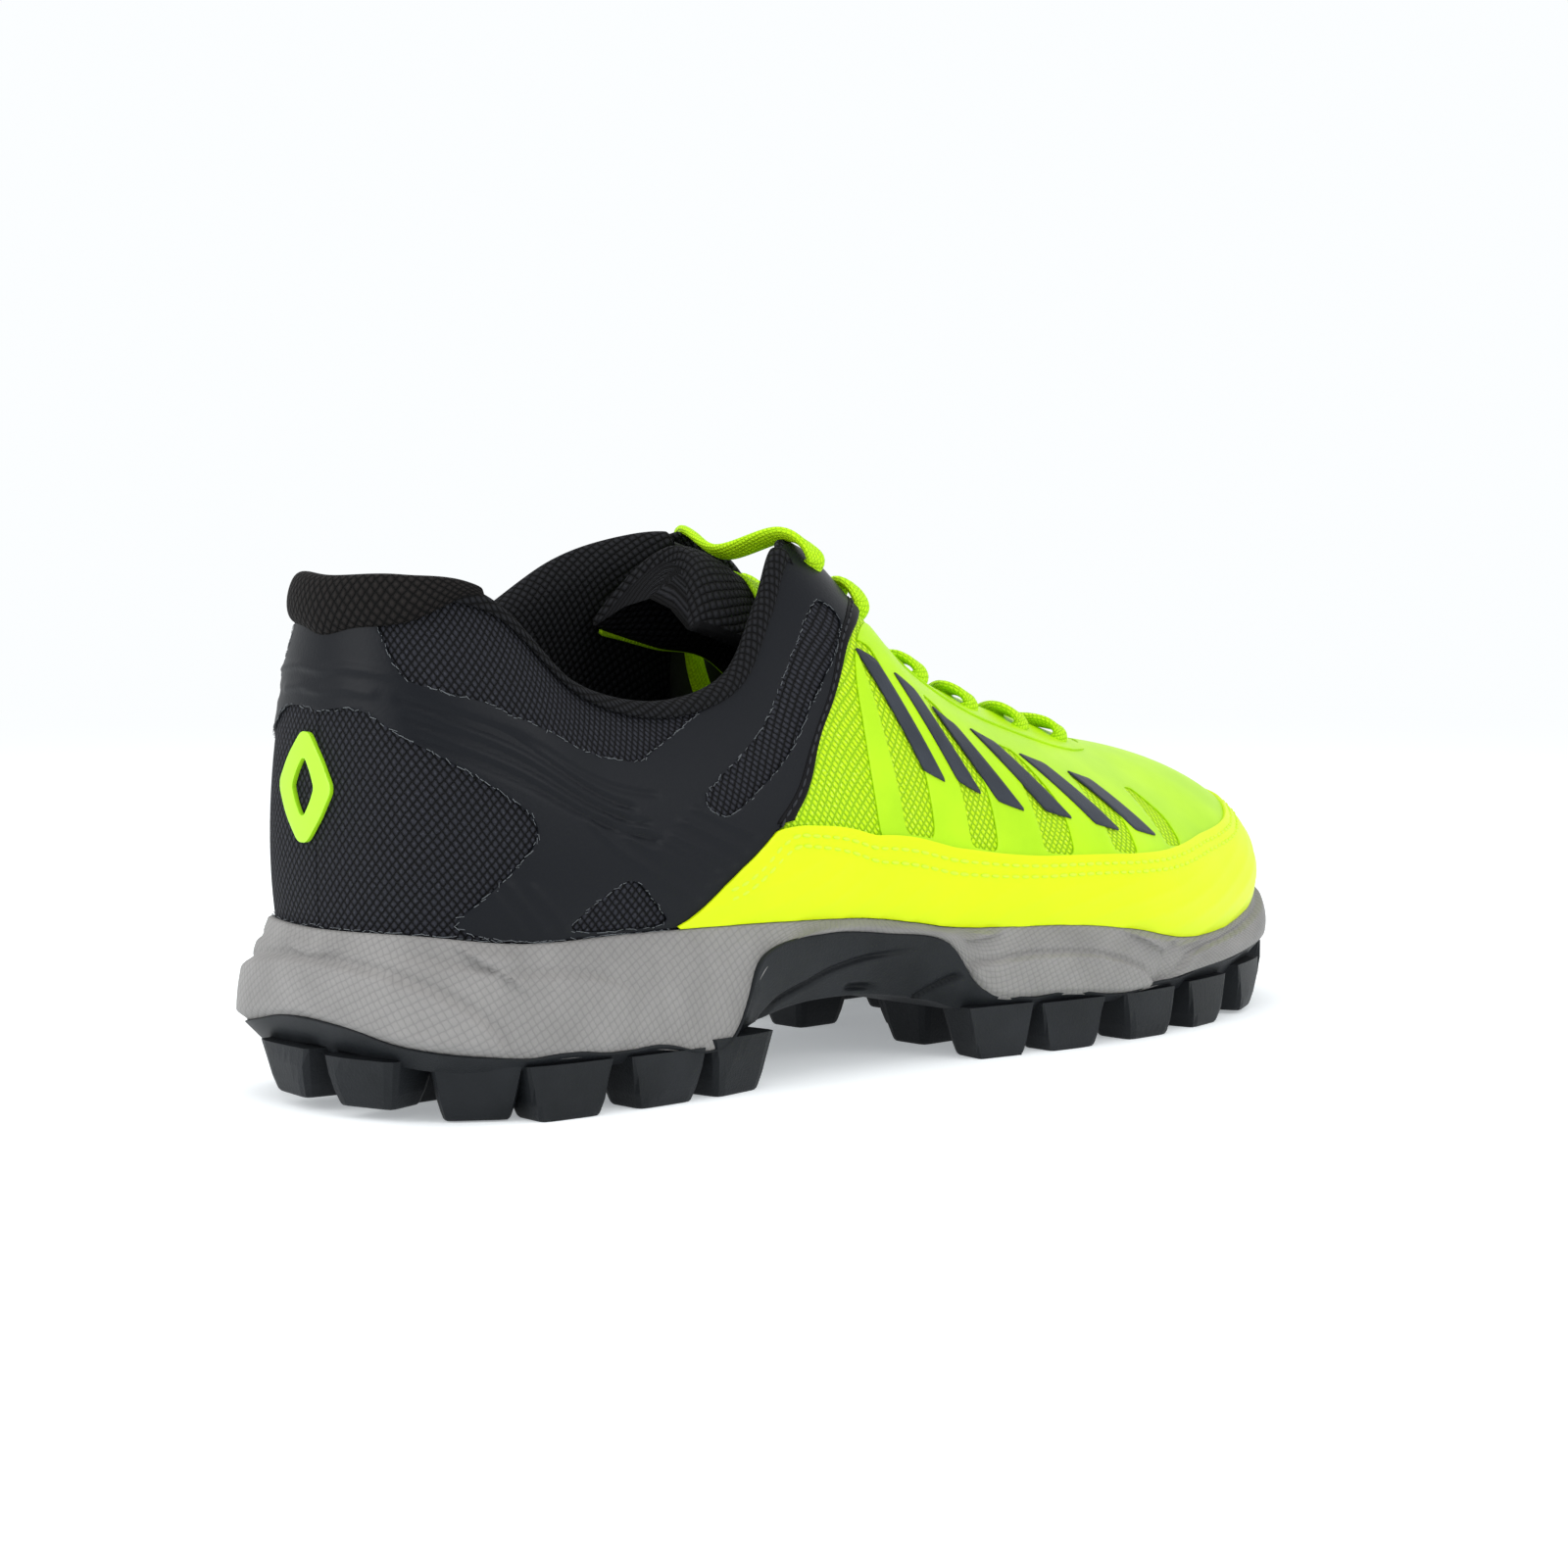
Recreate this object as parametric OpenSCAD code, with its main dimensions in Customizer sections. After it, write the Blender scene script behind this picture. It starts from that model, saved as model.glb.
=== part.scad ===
// Low-cut trail running shoe for the right foot.
// The origin is on the ground under the middle of the shoe, +X runs to the toe, +Y to the inner side.

/* [Size] */
// Length of the sole from heel to toe
shoe_length = 270; // [264:1:276]
// Every width against that of the standard last
width_factor = 1; // [0.96:0.01:1.04]

/* [Sole] */
// Thickness of the rubber plate that the studs grow from
plate_t = 2.4; // [2:0.1:3]
// Width of a stud at its tip
stud_tip = 10; // [8:0.5:11]
// How much wider a stud is at its root than at its tip
stud_flare = 5; // [3:0.5:6]
// Depth of the cup that the upper sits in
cup_depth = 4.2; // [3.8:0.1:4.6]

/* [Upper] */
// Thickness of the outer mesh
mesh_t = 1; // [0.8:0.1:1.1]
// Thickness of the welded film on the mesh
film_t = 0.5; // [0.3:0.1:0.6]
// Thickness of the rubber-coated toe rand
rand_t = 0.9; // [0.6:0.1:1.2]
// Thickness of the lining fabric
lining_t = 0.9; // [0.7:0.1:1]

/* [Tongue and insole] */
// Thickness of the tongue at its middle
tongue_t = 6.5; // [5:0.5:7]
// Thickness of the removable insole
insole_t = 4; // [3:0.5:4.5]

/* [Lace] */
// Width of the flat lace
lace_w = 5.4; // [4:0.2:6]
// Thickness of the flat lace
lace_t = 1.8; // [1.4:0.2:2]

/* [Hidden] */

// Standard length that the stations below are drawn for
last_length = 270;
// Moves the drawing so that the middle of the whole box stands at the origin
centre = [-133.5, 0.5];
// Small room left between parts that only lie on each other
gap = 0.3;
last_station = 16;

// Rails round one side of the shoe, heel centre to toe centre: [distance from the heel, half width, height]
foot_rail = [
    [3, 0, 35.5], [9, 22.5, 35.5], [27, 32, 33.3], [50, 35, 33.5], [76, 35.5, 33.2], [98, 35.5, 32.5],
    [112, 36, 31.7], [124, 37.2, 30], [136, 39, 28], [150, 42, 27.2], [168, 45, 26.3], [187, 46, 23.8],
    [206, 45, 20.2], [226, 41, 20.5], [246, 33, 24], [259, 20, 28.5], [264, 0, 30]
];
low_rail = [
    [1.5, 0, 58], [7, 24.5, 58], [27, 34.5, 54], [50, 39, 50], [76, 40, 50], [98, 41, 50],
    [112, 42, 50], [124, 44, 49], [136, 46, 47], [150, 49, 44], [168, 51, 42], [188, 52, 40],
    [208, 51, 37], [230, 46, 36], [251, 37, 37], [265, 22, 41], [270, 0, 43]
];
high_rail = [
    [3.5, 0, 84], [9.5, 21, 84], [28, 30.5, 80], [48, 34, 68], [69, 35, 66], [89, 34, 73],
    [104, 32, 84], [117, 32, 88], [131, 34, 82], [145, 37, 73], [162, 39, 65], [180, 38, 59],
    [198, 35, 55], [217, 30, 53], [238, 24, 54], [252, 13, 56], [257, 0, 57]
];
top_rail = [
    [6.5, 0, 103.5], [12, 14.5, 103.8], [26, 22.5, 100.5], [43, 26.5, 84], [63, 28, 78.5], [84, 26.5, 83],
    [98, 21.5, 97], [110, 15.5, 109], [124, 13.5, 103.5], [138, 13, 88.5], [154, 13, 78], [172, 13, 71.5],
    [189, 12.5, 66.8], [201, 10.5, 64], [207, 7, 63], [210.5, 3.5, 62.5], [212, 0, 62.3]
];
// Line where the foam of the midsole meets the rubber of the outsole
seam_rail = [
    [0, 0, 18.5], [5, 26.5, 14.7], [25, 38, 12], [50, 40.5, 11.6], [71, 40.3, 10.5], [81, 39.2, 27],
    [98, 38.5, 30], [116, 39, 28.5], [133, 40.3, 25.2], [144, 42.5, 13.2], [165, 46.3, 11.8],
    [185, 48.4, 10.5], [206, 47.5, 12.6], [227, 43.8, 14], [248, 35.3, 15.8], [263, 20, 18], [269, 0, 20]
];
// Lower edge of the rubber plate
tread_rail = [
    [3, 0, 13], [8, 24.5, 10.5], [26, 35.5, 9.3], [50, 37.5, 9], [71, 37, 9], [83, 33.5, 13],
    [98, 32, 15.5], [116, 32.5, 15.5], [132, 35, 13], [144, 39.5, 9.5], [165, 43.5, 9],
    [185, 45.5, 8.8], [206, 44.5, 9], [226, 40.5, 9.3], [246, 32, 11], [259, 18, 14], [264.5, 0, 16.5]
];
// Sideways bend of the last under the foot and at the throat, to the inner side
foot_bend = [0, 0, 0, -0.5, -2, -3, -3.2, -3, -2.5, -2, -1.5, -1, 0, 1, 2, 2.5, 2.5];
throat_bend = [0, 0, 0, 0, 0, 0, 0, 0, 0, 0, 0, 0, 0.3, 0.6, 1, 1, 1];
// How much higher the collar stands on the inner side
collar_rise = [0, 0, 0.5, 8.5, 16.3, 22.3, 12.8, 1.6, 1, 0, 0, 0, 0, 0, 0, 0, 0];

// Smooth curve through four neighbours, at fraction f between the middle two
function spline(a, b, c, d, f) =
    0.5 * (2 * b + (c - a) * f + (2 * a - 5 * b + 4 * c - d) * f * f + (3 * b - a - 3 * c + d) * f * f * f);
function mirrored(r) = is_num(r) ? r : [r.x, -r.y, r.z];
function knot(rail, i) =
    i < 0 ? mirrored(rail[1]) : i > last_station ? mirrored(rail[last_station - 1]) : rail[i];
function along(rail, u) =
    let (i = min(floor(u), last_station - 1))
    spline(knot(rail, i - 1), knot(rail, i), knot(rail, i + 1), knot(rail, i + 2), u - i);

// A lap runs round the shoe: 0 at the heel, 16 at the toe, right side first, -16 to 0 the left side again
function lap_side(p) = p < 0 || p > last_station ? 1 : -1;
function lap_station(p) = p < 0 ? -p : p > last_station ? 2 * last_station - p : p;
function placed(r, bend, side, rise) = [
    (r.x * shoe_length / last_length) + centre.x * shoe_length / last_length,
    (bend + side * r.y) * width_factor + centre.y,
    r.z + rise
];
// Outer face of the upper at lap p and height fraction v
function skin(p, v) =
    let (
        u = lap_station(p),
        side = lap_side(p),
        fb = along(foot_bend, u),
        tb = along(throat_bend, u),
        rise = side > 0 ? along(collar_rise, u) : 0,
        w = 1 - v
    )
    placed(along(foot_rail, u), fb, side, 0) * w * w * w
    + placed(along(low_rail, u), 0.8 * fb + 0.2 * tb, side, 0) * 3 * v * w * w
    + placed(along(high_rail, u), 0.4 * fb + 0.6 * tb, side, 0.6 * rise) * 3 * v * v * w
    + placed(along(top_rail, u), tb, side, rise) * v * v * v;
function unit(a) = a / norm(a);
// The same face moved out by d, or in where d is negative
function shell_point(p, v, d) =
    let (
        here = skin(p, v),
        step = 0.01,
        n = unit(cross(skin(p + step, v) - here, skin(p, v + step) - here))
    )
    here + n * d;

// A table of [key, value] pairs, or one value for every key
function at(table, key) = is_num(table) ? table : lookup(key, table);
// The same table for the left side
function left(table) = is_num(table) ? -table : [for (r = table) [r[0], -r[1]]];

// Triangles of a closed tube of n steps with k points a ring, and of its two ends
function tube_faces(n, k, turned) = [
    for (i = [0:n - 1], j = [0:k - 1])
        let (a = i * k + j, b = i * k + (j + 1) % k, c = b + k, d = a + k)
        each turned ? [[c, b, a], [d, c, a]] : [[a, b, c], [a, c, d]],
    for (j = [0:k / 2 - 2], end = [0, 1])
        let (
            a = end * n * k + j,
            b = a + 1,
            c = end * n * k + k - 2 - j,
            d = c + 1,
            face = (end == 1) != turned
        )
        each face ? [[a, b, c], [a, c, d]] : [[c, b, a], [d, c, a]]
];
// A closed tube through rings; each ring is an outer chain and then the inner chain backwards
module loft(rings, turned = false) {
    polyhedron(
        points = [for (r = rings) each r],
        faces = tube_faces(len(rings) - 1, len(rings[0]), turned)
    );
}
function backwards(list) = [for (i = [len(list) - 1:-1:0]) list[i]];
// Two chains [height fraction, depth] for a sheet of even thickness
function even(depth, m) = [for (j = [0:m]) [j / m, depth]];

// Fractions of the way along a piece that goes round the toe: finer where the toe turns
toe_turn = concat(
    [for (i = [0:9]) i * 0.036], [for (i = [0:24]) 0.36 + i * 0.28 / 24], [for (i = [1:10]) 0.64 + i * 0.036]
);
function even_steps(n) = [for (i = [0:n]) i / n];

// A piece that follows the upper. back and front are laps by height, low and high are heights by lap, and
// steps are the fractions of the way from back to front where it has its rings.
module sheet(back, front, steps, low, high, outer, inner) {
    b1 = at(back, 1);
    f1 = at(front, 1);
    loft([
        for (a = is_num(steps) ? even_steps(steps) : steps)
            let (nominal = b1 + (f1 - b1) * a, lo = at(low, nominal), hi = at(high, nominal))
            [
                for (q = concat(outer, backwards(inner)))
                    let (v = lo + (hi - lo) * q[0], p = at(back, v) * (1 - a) + at(front, v) * a)
                    shell_point(p, v, q[1])
            ]
    ], f1 < b1);
}

// Plan of a rail at station u, drawn in by inset and lifted by lift
function plan_point(rail, u, side, inset, lift) =
    let (
        step = 0.02,
        a = along(rail, u - step),
        b = along(rail, u + step),
        inward = unit([b.y - a.y, a.x - b.x]),
        r = along(rail, u)
    )
    placed([r.x + inward.x * inset, r.y + inward.y * inset, r.z + lift], along(foot_bend, u), side, 0);
// Stations of the sole: closer together round the heel and the toe
end_room = 0.04;
sole_stations = [
    end_room, 0.3, 0.6, 1, 1.5, 2, 2.5, 3, 3.5, 4, 4.33, 4.67, 5, 5.5, 6, 6.5, 7, 7.5, 8, 8.33, 8.67, 9,
    9.5, 10, 10.5, 11, 11.5, 12, 12.5, 13, 13.5, 14, 14.5, 15, 15.4, 15.7, last_station - end_room
];
// Both halves of a chain of [rail, inset, lift, share of the width]
function across(chain, u) = [
    for (side = [-1, 1], j = [0:len(chain) - 1])
        let (
            q = side < 0 ? chain[j] : chain[len(chain) - 1 - j],
            e = plan_point(q[0], u, side, q[1], q[2]),
            middle = (plan_point(q[0], u, -1, q[1], q[2]) + plan_point(q[0], u, 1, q[1], q[2])) / 2
        )
        middle + (e - middle) * q[3]
];
// Triangles of a cup-shaped loft from heel to toe, whose rings are a lower chain and then an upper one
// backwards. Its ends are closed from the right half of each chain to the left half.
function basin_faces(n, k) =
    let (m = k / 2)
    [
        for (i = [0:n - 1], j = [0:k - 1])
            let (a = i * k + j, b = i * k + (j + 1) % k, c = b + k, d = a + k)
            each [[c, b, a], [d, c, a]],
        for (end = [0, n], start = [0, m], j = [0:m / 2 - 2])
            let (o = end * k + start, a = o + j, b = a + 1, c = o + m - 2 - j, d = c + 1)
            each end == 0 ? [[a, b, c], [a, c, d]] : [[c, b, a], [d, c, a]],
        for (end = [0, n])
            let (a = end * k + m - 1, b = a + 1, c = end * k + k - 1, d = end * k)
            each end == 0 ? [[a, b, c], [a, c, d]] : [[c, b, a], [d, c, a]]
    ];
module sole_layer(lower, upper, cupped) {
    rings = [for (u = sole_stations) concat(across(lower, u), backwards(across(upper, u)))];
    if (cupped)
        polyhedron(points = [for (r = rings) each r], faces = basin_faces(len(rings) - 1, len(rings[0])));
    else
        loft(rings, true);
}

// Rise of the seam between foam and rubber, and sag of the footbed, towards the middle
crown = 0.3;
module outsole() {
    color("#26272a") {
        sole_layer(
            [[seam_rail, 0, 0, 1], [tread_rail, 0, 0, 1], [tread_rail, 0, 0, 0.5]],
            [
                [seam_rail, plate_t, 0, 1], [tread_rail, plate_t, plate_t, 1],
                [tread_rail, plate_t, plate_t + crown, 0.5]
            ],
            cupped = true
        );
        for (s = studs) stud(s);
    }
}
// Height of the stud tips along the shoe, level except for the rocker of the heel and the toe
tip_line = [[0, 3.6], [8, 2.4], [22, 0], [215, 0], [235, 0.8], [250, 2.4], [262, 5], [270, 8]];
// Studs: [distance from the heel, sideways, turn, length]
studs = [
    [7, 8, 80, 13], [8, -12, -75, 13],
    [19, 25, 35, 13], [20, -26, -35, 13], [24, 0, 0, 12],
    [36, 35, 5, 12], [33, -35, -5, 14], [41, 14, 0, 12], [41, -15, 0, 12],
    [58, 36, 0, 13], [56, -36, 0, 14], [60, 0, 0, 12],
    [76, 34, -8, 12], [75, -35.5, 8, 13], [74, 16, 0, 11], [74, -17, 0, 11],
    [146, 40, 8, 12], [148, -41.5, -10, 12], [151, 18, 0, 12], [153, -18, 0, 12],
    [168, 43, 0, 13], [167, -44, 0, 13], [169, 0, 0, 12],
    [186, 22, 0, 12], [186, -22, 0, 12], [189, 43, 0, 13], [191, -44, 0, 13],
    [204, 0, 0, 12], [210, 40, -12, 13], [213, -41, 12, 12],
    [221, 20, 0, 12], [222, -19, 0, 12],
    [231, 34, -28, 13], [235, -34, 28, 12], [239, 1, 0, 12],
    [250, 22, -48, 12], [253, -21, 48, 11], [261, 3, 88, 12]
];
module stud(s) {
    tip = lookup(s[0], tip_line);
    root = lookup(s[0], [for (r = tread_rail) [r.x, r.z]]) + plate_t * 0.6;
    at_x = (s[0] + centre.x) * shoe_length / last_length;
    at_y = s[1] * width_factor + centre.y;
    bevel = 1.2;
    translate([at_x, at_y, 0])
        rotate([0, 0, s[2]])
            hull() {
                translate([0, 0, root]) slab([s[3] + stud_flare, stud_tip + stud_flare, 0.2]);
                translate([0, 0, tip + bevel]) slab([s[3], stud_tip, 0.2]);
                translate([0, 0, tip]) slab([s[3] - bevel, stud_tip - bevel, 0.2]);
            }
}
module slab(size) {
    translate([-size.x / 2, -size.y / 2, 0]) cube(size);
}

module midsole() {
    bulge = -1.8;
    lip = -1.8;
    room = -gap;
    color("#8b8b8b")
        sole_layer(
            [
                [foot_rail, -1, 0, 1], [foot_rail, lip, -0.8, 1], [wall_rail, bulge, 0, 1], [seam_rail, 0, 0, 1],
                [seam_rail, plate_t, 0, 1], [tread_rail, plate_t, plate_t, 1],
                [tread_rail, plate_t, plate_t + crown, 0.5]
            ],
            [
                [foot_rail, room, 0, 1], [foot_rail, room, -cup_depth / 3, 1],
                [foot_rail, room, -cup_depth * 2 / 3, 1], [foot_rail, room, -cup_depth, 1],
                [foot_rail, room, -cup_depth - crown / 2, 0.8], [foot_rail, room, -cup_depth - crown * 0.8, 0.6],
                [foot_rail, room, -cup_depth - crown, 0.3]
            ],
            cupped = true
        );
}
// Middle of the midsole's side wall
wall_rail = [for (i = [0:last_station]) (foot_rail[i] + seam_rail[i]) / 2];

module strobel_board() {
    board_t = 1.2;
    low = -cup_depth;
    color("#d9d4c7")
        sole_layer(
            [[foot_rail, 3.2, low, 1], [foot_rail, 3.2, low, 0.5]],
            [[foot_rail, 3.2, low + board_t, 1], [foot_rail, 3.2, low + board_t, 0.5]],
            cupped = false
        );
}
module insole() {
    low = -cup_depth + 1.2 + gap;
    edge = 2.6;
    room = 4.8;
    color("#2f3033")
        sole_layer(
            [[foot_rail, room, low + edge, 1], [foot_rail, room + 3, low, 1], [foot_rail, room + 3, low, 0.5]],
            [
                [foot_rail, room, low + edge + insole_t * 0.8, 1], [foot_rail, room + 3, low + insole_t, 1],
                [foot_rail, room + 3, low + insole_t, 0.5]
            ],
            cupped = false
        );
}

// Front edge of the black quarter: lap by height
quarter_edge = [
    [-0.06, 3.4], [0, 3.5], [0.16, 3.95], [0.35, 4.6], [0.56, 5.6], [0.66, 6.6], [0.78, 7.5], [0.9, 8.2], [1, 8.6]
];
vamp_start = [for (r = quarter_edge) [r[0], r[1] + 0.03]];
vamp_end = [for (r = vamp_start) [r[0], 2 * last_station - r[1]]];
// Height where the upper starts inside the cup of the midsole
tuck = -0.055;
// Lap where the collar roll ends at the peak of the eyestay
peak = 6.9;
collar_top = 0.95;
quarter_top = [[0, collar_top], [peak - 0.1, collar_top], [peak + 0.1, 1], [9, 1]];
function mirrored_keys(table) = backwards([for (r = table) [-r[0], r[1]]]);

module quarter(front, high) {
    heel_seam = sign(at(front, 1)) * 0.01;
    sheet(heel_seam, front, 20, tuck, high, even(0, 6), even(-mesh_t, 6));
}
module quarter_right() {
    color("#1d1e22") quarter(quarter_edge, quarter_top);
}
module quarter_left() {
    color("#1d1e22") quarter(left(quarter_edge), mirrored_keys(quarter_top));
}
module vamp() {
    color("#c6e62e") sheet(vamp_start, vamp_end, toe_turn, tuck, 1, even(0, 5), even(-mesh_t, 5));
}
module toe_puff() {
    color("#e8e4d8")
        sheet(12.6, 19.4, 22, 0, [[12.6, 0.2], [14, 0.36], [16, 0.42], [18, 0.36], [19.4, 0.2]],
              even(-mesh_t - 0.7, 4), even(-mesh_t - 1.25, 4));
}
module vamp_lining() {
    outer = -mesh_t - 1.3;
    color("#3a3b3d")
        sheet(peak + 0.05, 2 * last_station - peak - 0.05, toe_turn, tuck, 0.985,
              even(outer, 4), even(outer - lining_t * 0.7, 4));
}
module heel_counter() {
    color("#b9b3a4")
        sheet(-3.2, 3.2, 16, 0.02, [[-3.2, 0.25], [-2, 0.45], [0, 0.55], [2, 0.45], [3.2, 0.25]],
              even(-mesh_t - 0.2, 4), even(-mesh_t - 1.3, 4));
}
// Foot side of the collar lining, from the sole up over the rolled top edge: [height, depth]
roll = [
    [0, -3.7], [0.3, -4.2], [0.55, -6.2], [0.8, -6.8], [0.92, -5.8], [0.98, -3.8], [1, -1.6], [0.995, 0.2], [0.955, 1.1]
];
roll_inside = [
    for (i = [0:len(roll) - 1])
        i < 4 ? [roll[i][0], roll[i][1] + lining_t]
        : [[0.915, -4.9], [0.965, -3.4], [0.975, -1.6], [0.97, -0.4], [0.955, 0.2]][i - 4]
];
module collar_lining() {
    color("#17181a") sheet(-peak, peak, 44, tuck, 1, roll_inside, roll);
}
module collar_foam() {
    color("#4a4a4a")
        sheet(-peak + 0.1, peak - 0.1, 32, 0.4, 0.93,
              [[0, -2.5], [0.3, -2.5], [0.45, -1.2], [0.8, -1.2], [1, -1.2]],
              [[0, -3.4], [0.3, -5.1], [0.6, -5.6], [0.8, -5.6], [1, -4.2]]);
}
module heel_pad() {
    pad = [[-1.9, 0.92], [-1.5, 0.895], [-0.9, 0.845], [0, 0.805], [0.9, 0.845], [1.5, 0.895], [1.9, 0.92]];
    color("#17181a")
        sheet(-1.9, 1.9, 14, pad, 0.945,
              [[0, 0.8], [0.25, 2.4], [0.7, 2.6], [1, 1.2]], [[0, 0.05], [0.25, 0.05], [0.7, 0.05], [1, 0.05]]);
}

// Bands of welded film on the quarter, with bare mesh left between them: [back, front, low, high]
film_low = [
    [0, 0.6], [0.9, 0.54], [1.6, 0.45], [2.1, 0.34], [2.35, 0.12], [2.6, 0.13], [3, 0.24], [3.3, 0.12], [3.45, 0.03]
];
film_high = [
    [0, 0.79], [0.74, 0.79], [0.93, 0.7], [1.78, 0.66], [2.01, 0.635], [2.8, 0.68], [3.35, 0.684], [3.9, 0.8]
];
band_back = [[0.1, 3.7], [0.4, 3.92], [0.8, 3.92], [0.87, 4.2], [0.95, 5]];
band_front = [[0.1, 3.75], [0.5, 3.98], [0.62, 4.24], [0.7, 4.8], [0.77, 5.4], [0.82, 6.8], [0.95, 6.85]];
edge_back = [[0.3, 3.98], [0.44, 4.1], [0.52, 4.5], [0.64, 5.5], [0.71, 6.8], [0.78, 7.25], [1, 7.3]];
module film(side) {
    outer = even(film_t + 0.05, 3);
    inner = even(0.05, 3);
    s = side;
    function t(table) = s < 0 ? table : left(table);
    function k(table) = s < 0 ? table : mirrored_keys(table);
    sheet(-s * 0.02, -s * 3.45, 16, k(film_low), k(film_high), outer, inner);
    sheet(t(band_back), t(band_front), 6, 0.1, 0.935, outer, inner);
    sheet(t(edge_back), t([for (r = quarter_edge) [r[0], r[1] - 0.1]]), 4, 0.3, 0.99, outer, inner);
}
module film_right() {
    color("#33353c") film(-1);
}
module film_left() {
    color("#33353c") film(1);
}

// Smooth welded bands between the mesh stripes of the vamp: lap of each middle
vamp_bands = [6.6, 7.9, 9.2, 10.4, 11.6, 12.8];
band_half = 0.28;
function front_lap(p, side) = side < 0 ? p : 2 * last_station - p;
module vamp_band_set(side) {
    for (p = vamp_bands)
        sheet(front_lap(p - band_half, side), front_lap(p + band_half, side), 2,
              rand_height(p) + 0.03, 0.84 - 0.01 * p, even(0.4, 5), even(0.05, 5));
}
module vamp_bands_right() {
    color("#d4ef4a") vamp_band_set(-1);
}
module vamp_bands_left() {
    color("#d4ef4a") vamp_band_set(1);
}
// Upper edge of the toe rand on the right side: [lap, height]
rand_edge = [
    [3.55, 0.04], [4, 0.21], [4.72, 0.37], [5.3, 0.33], [6.2, 0.265], [8, 0.254], [9.6, 0.278], [11.1, 0.33],
    [12.9, 0.44], [14.6, 0.47], [16, 0.48]
];
function rand_height(p) = lookup(p, rand_edge);
module toe_rand() {
    both = concat(rand_edge, backwards([for (r = rand_edge) [2 * last_station - r[0], r[1]]]));
    color("#eef01e")
        sheet(3.55, 2 * last_station - 3.55, toe_turn, 0.02, both, even(rand_t, 4), even(0.1, 4));
}
module eyestay(side) {
    edge = [[8.7, 0.9], [9.5, 0.86], [12, 0.85], [13.2, 0.9]];
    keys = side < 0 ? edge : backwards([for (r = edge) [2 * last_station - r[0], r[1]]]);
    sheet(front_lap(8.7, side), front_lap(13.2, side), 12, keys, 1, even(0.8, 2), even(0.05, 2));
}
module eyestay_right() {
    color("#c0df2a") eyestay(-1);
}
module eyestay_left() {
    color("#c0df2a") eyestay(1);
}
module binding(table) {
    inward = sign(at(table, 1)) * 0.3;
    sheet([for (r = table) [r[0], r[1] - inward]], [for (r = table) [r[0], r[1] + inward / 8]], 2,
          0.4, 0.99, even(film_t + 0.5, 8), even(film_t + 0.1, 8));
}
module quarter_binding_right() {
    color("#101114") binding(quarter_edge);
}
module quarter_binding_left() {
    color("#101114") binding(left(quarter_edge));
}
// Plain slanted bars on the side of the vamp: lap of each lower end
mark_laps = [7.9, 8.6, 9.3, 10.1, 10.9, 11.7];
module side_marks(side) {
    lean = -0.55;
    for (p = mark_laps)
        sheet([[0.4, front_lap(p, side)], [0.72, front_lap(p + lean, side)]],
              [[0.4, front_lap(p + 0.42, side)], [0.72, front_lap(p + 0.42 + lean, side)]], 2,
              0.43, 0.7, even(0.8, 3), even(0.45, 3));
}
module side_marks_right() {
    color("#2b2d33") side_marks(-1);
}
module side_marks_left() {
    color("#2b2d33") side_marks(1);
}
// Raised lozenge on the back of the heel
module heel_emblem() {
    middle = -0.15;
    half = [[0.24, 0.12], [0.3, 0.42], [0.39, 0.5], [0.48, 0.42], [0.54, 0.12]];
    color("#c6e62e")
        sheet([for (r = half) [r[0], middle - r[1]]], [for (r = half) [r[0], middle + r[1]]], 5,
              0.24, 0.54, even(1, 4), even(0.05, 4));
}

// Tongue: middle line [distance, height] and side line [distance, half width, height], from the sewn base up
tongue_middle = [
    [211, 58], [203, 59.4], [189, 63.5], [172, 68.5], [154, 75], [138, 84.6], [124, 96.8], [111, 103], [103, 107.4],
    [97, 108.4]
];
tongue_side = [
    [211, 8, 56.6], [203, 12, 56.8], [189, 15.5, 58.6], [172, 18, 62], [154, 20, 66.8], [139, 20.5, 75],
    [121, 19, 86.5], [105, 18, 89], [95, 18.3, 91.5], [89, 17.5, 93]
];
// How far the tongue leans to the inner side
tongue_lean = [0.4, 0.4, 0.4, 0.4, 0.4, 0.4, 0.4, 1, 2, 2.4];
tongue_rows = len(tongue_middle) - 1;
tongue_across = [-1, -0.75, -0.45, -0.15, 0.15, 0.45, 0.75, 1];
function row_point(rail, i) = rail[max(0, min(i, tongue_rows))];
function row_spline(rail, a) =
    let (i = min(floor(a), tongue_rows - 1))
    spline(row_point(rail, i - 1), row_point(rail, i), row_point(rail, i + 1), row_point(rail, i + 2), a - i);
function tongue_skin(a, b) =
    let (m = row_spline(tongue_middle, a), e = row_spline(tongue_side, a), c = b * b)
    placed([m.x + (e.x - m.x) * c, abs(b) * e.y, m[1] + (e.z - m[1]) * c], row_spline(tongue_lean, a), sign(b), 0);
// Point under the tongue's outer face, thinner towards its sides and its sewn end
function tongue_point(a, b, depth) =
    let (
        h = 0.01,
        n = unit(cross(tongue_skin(a + h, b) - tongue_skin(a - h, b), tongue_skin(a, b + h) - tongue_skin(a, b - h))),
        thin = (1 - 0.5 * b * b) * min(1, 0.45 + 0.25 * a)
    )
    tongue_skin(a, b) + n * depth * thin;
module tongue_layer(top, bottom) {
    steps = 22;
    loft([
        for (i = [0:steps])
            let (a = 0.02 + (tongue_rows - 0.04) * i / steps)
            concat(
                [for (b = tongue_across) tongue_point(a, b, top)],
                [for (b = backwards(tongue_across)) tongue_point(a, b, bottom)]
            )
    ], true);
}
cover_t = 1;
module tongue_cover() {
    color("#c6e62e") tongue_layer(0, cover_t);
}
module tongue_foam() {
    color("#4a4a4a") tongue_layer(cover_t, tongue_t - cover_t);
}
module tongue_lining() {
    color("#17181a") tongue_layer(tongue_t - cover_t, tongue_t);
}

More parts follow.
